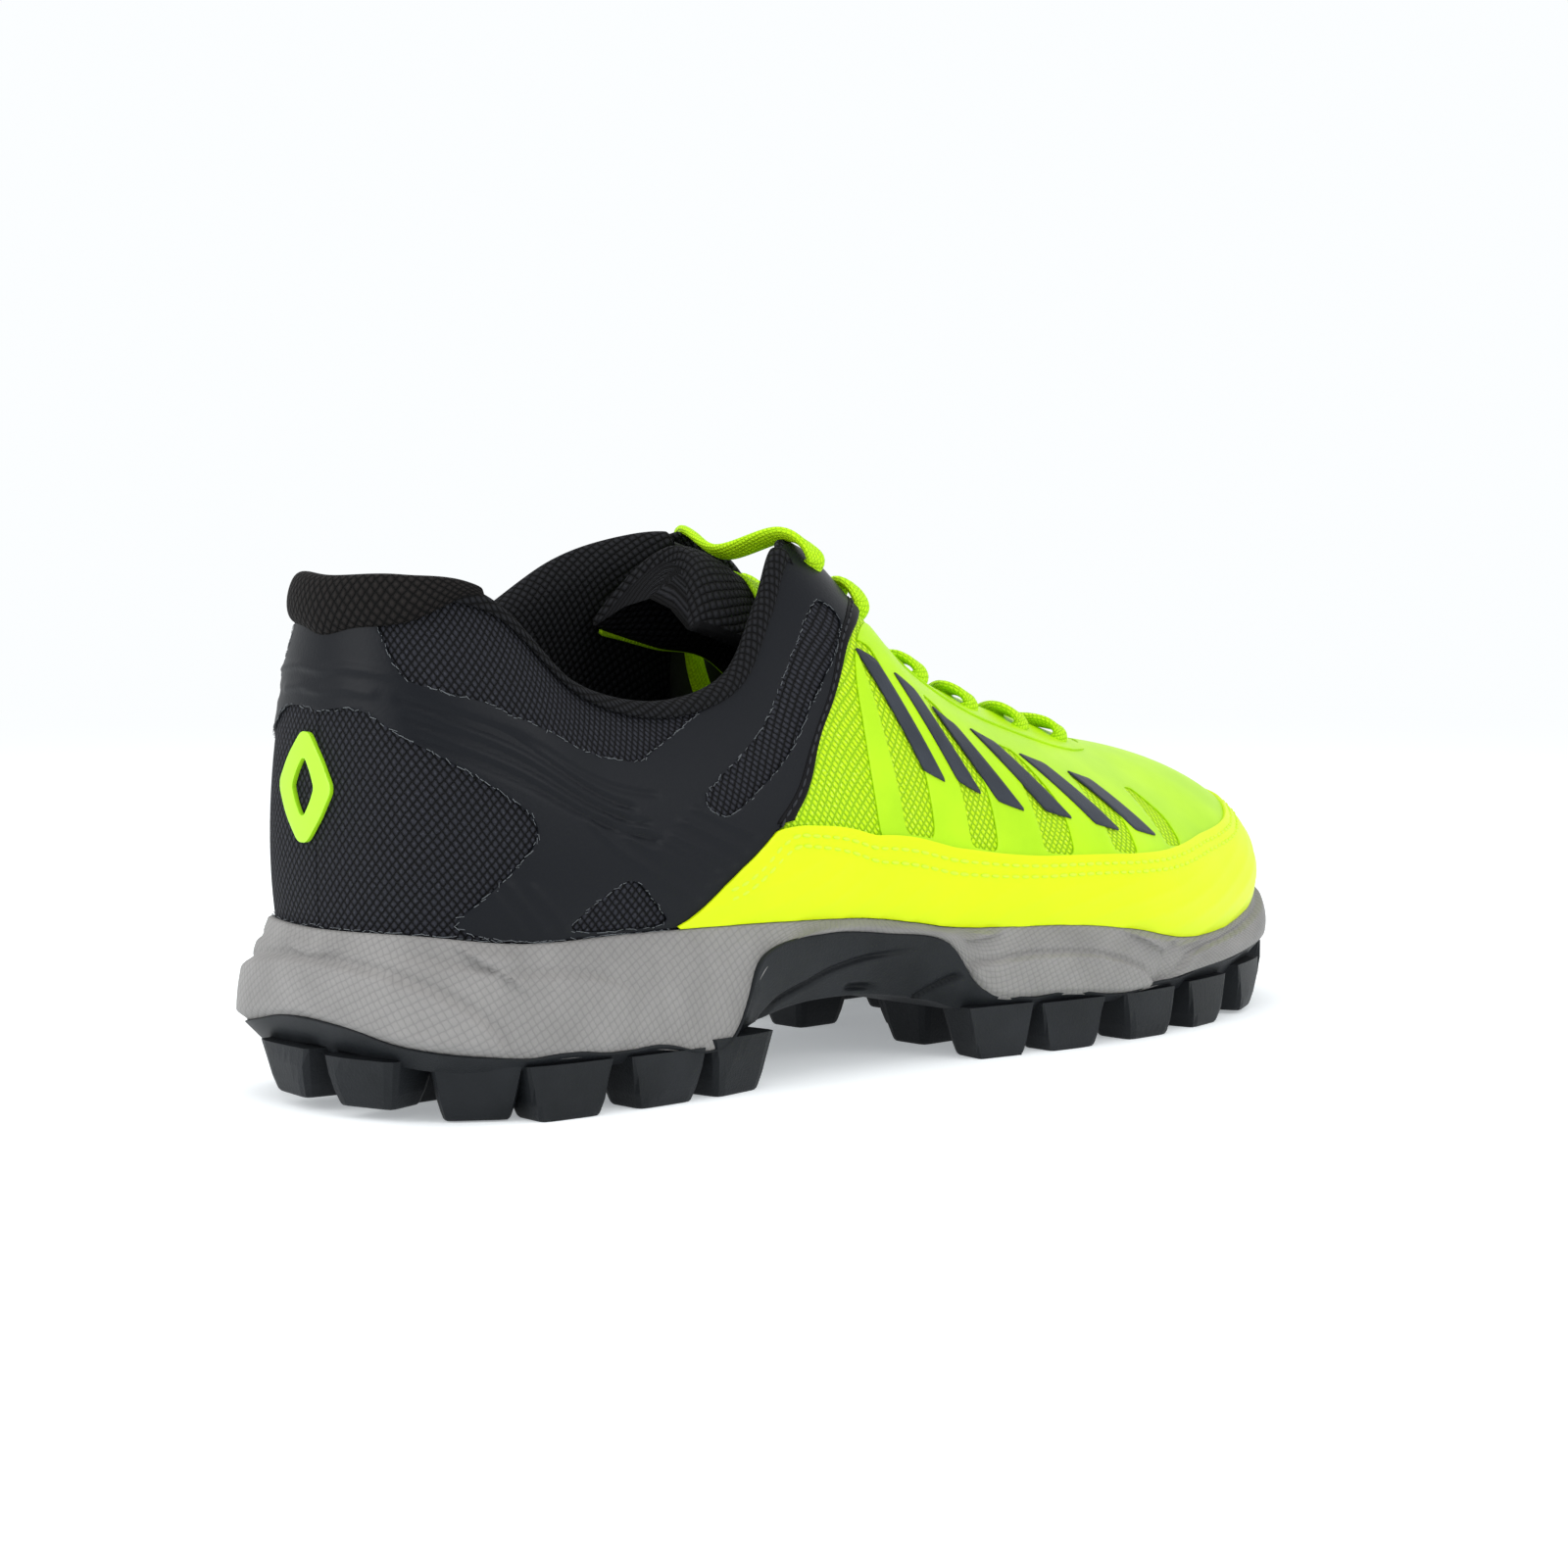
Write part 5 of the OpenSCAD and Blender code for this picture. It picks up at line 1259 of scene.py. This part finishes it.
# The flat of the lace lies along the shoe, and turns level in the two tails.
wide = np.tile(np.array([0.86, 0, -0.5]) / np.hypot(0.86, 0.5), (len(walk), 1))
wide[(walk < len(short_tail)) | (walk > spans - len(long_tail))] = np.array([0.6, 0, 0.8])
wide -= tangent * (wide * tangent).sum(1, keepdims=True)
for _ in range(12):
    wide[1:-1] = (wide[:-2] + 2 * wide[1:-1] + wide[2:]) / 4
    wide -= tangent * (wide * tangent).sum(1, keepdims=True)
    wide /= norm(wide, axis=1, keepdims=True)
flat_side = np.cross(tangent, wide)
turn = np.linspace(0, 2 * np.pi, 15)[:-1]
lean, rise = np.cos(turn), np.sin(turn)
oval = np.stack([np.sign(lean) * np.abs(lean) ** 0.8 * lace_half_width,
                 np.sign(rise) * np.abs(rise) ** 0.75 * lace_half_thick], 1) * mm
rings = lace_line[:, None] + wide[:, None] * oval[None, :, :1] + flat_side[:, None] * oval[None, :, 1:]
lace = closed_tube("lime_lace", rings, 0.55)
# Painted light: the lace braid has painted highlights and glints on its floats, painted shade in its gaps, and a
# faint painted glow from its emission.
lace.data.materials.append(woven(
    "lace_braid", (0.34, 0.64, 0.003), (0.48, 0.80, 0.006), (0.55, 0.82, 0.04), 1.3, 0.6, 0.0003, 0.6, 35,
    Emission_Color=(0.45, 0.85, 0.0, 1), Emission_Strength=0.05))
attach(lace, "shoe")
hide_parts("lace")

aglet_material = grain_rubber("aglet_material", (0.42, 0.66, 0.02), (0.52, 0.76, 0.05), 0.2, 300.0, 0.00003)
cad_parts["aglets"].data.materials.clear()
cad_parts["aglets"].data.materials.append(aglet_material)

# ---- Insole
# A loose pad of black knit-topped foam that lies on the board inside the shoe. It is dished at the heel and lifts
# out by its heel end.
insole_low, insole_up = -2.7, 1.3
insole_rows = [sole_line(foot_rail, laps, 0.0050, insole_low * mm, s) for s in (0, 0.5, 0.9, 1)]
insole_rows += [plan_point(foot_rail, laps, i * mm, (insole_low + z) * mm)
                for i, z in ((4.85, 0.5), (4.82, 1.9), (5.1, 2.5), (6.2, 3.2))]
insole_rows += [sole_line(foot_rail, laps, 0.0062, z * mm, s)
                for s, z in ((0.9, insole_low + 3.7), (0.7, insole_up), (0.4, insole_up), (0, insole_up))]
insole_rows = np.stack(insole_rows, 1)
insole_flat = insole_rows[..., :2].reshape(-1, 2) / mm
insole_faces = ring_faces(len(laps), insole_rows.shape[1])
insole_pad = as_mesh("insole_pad", insole_rows.reshape(-1, 3), insole_faces, insole_flat)
turn_out(insole_pad, merge=True)
# Painted light: the insole knit has painted shade in its holes and painted highlights and glints on its loops.
insole_pad.data.materials.append(
    knit("insole_knit", (0.003, 0.003, 0.004), (0.03, 0.03, 0.034), 1.4, 0.8, 0.0003, 90))
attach(insole_pad, "insole")
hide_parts("insole")
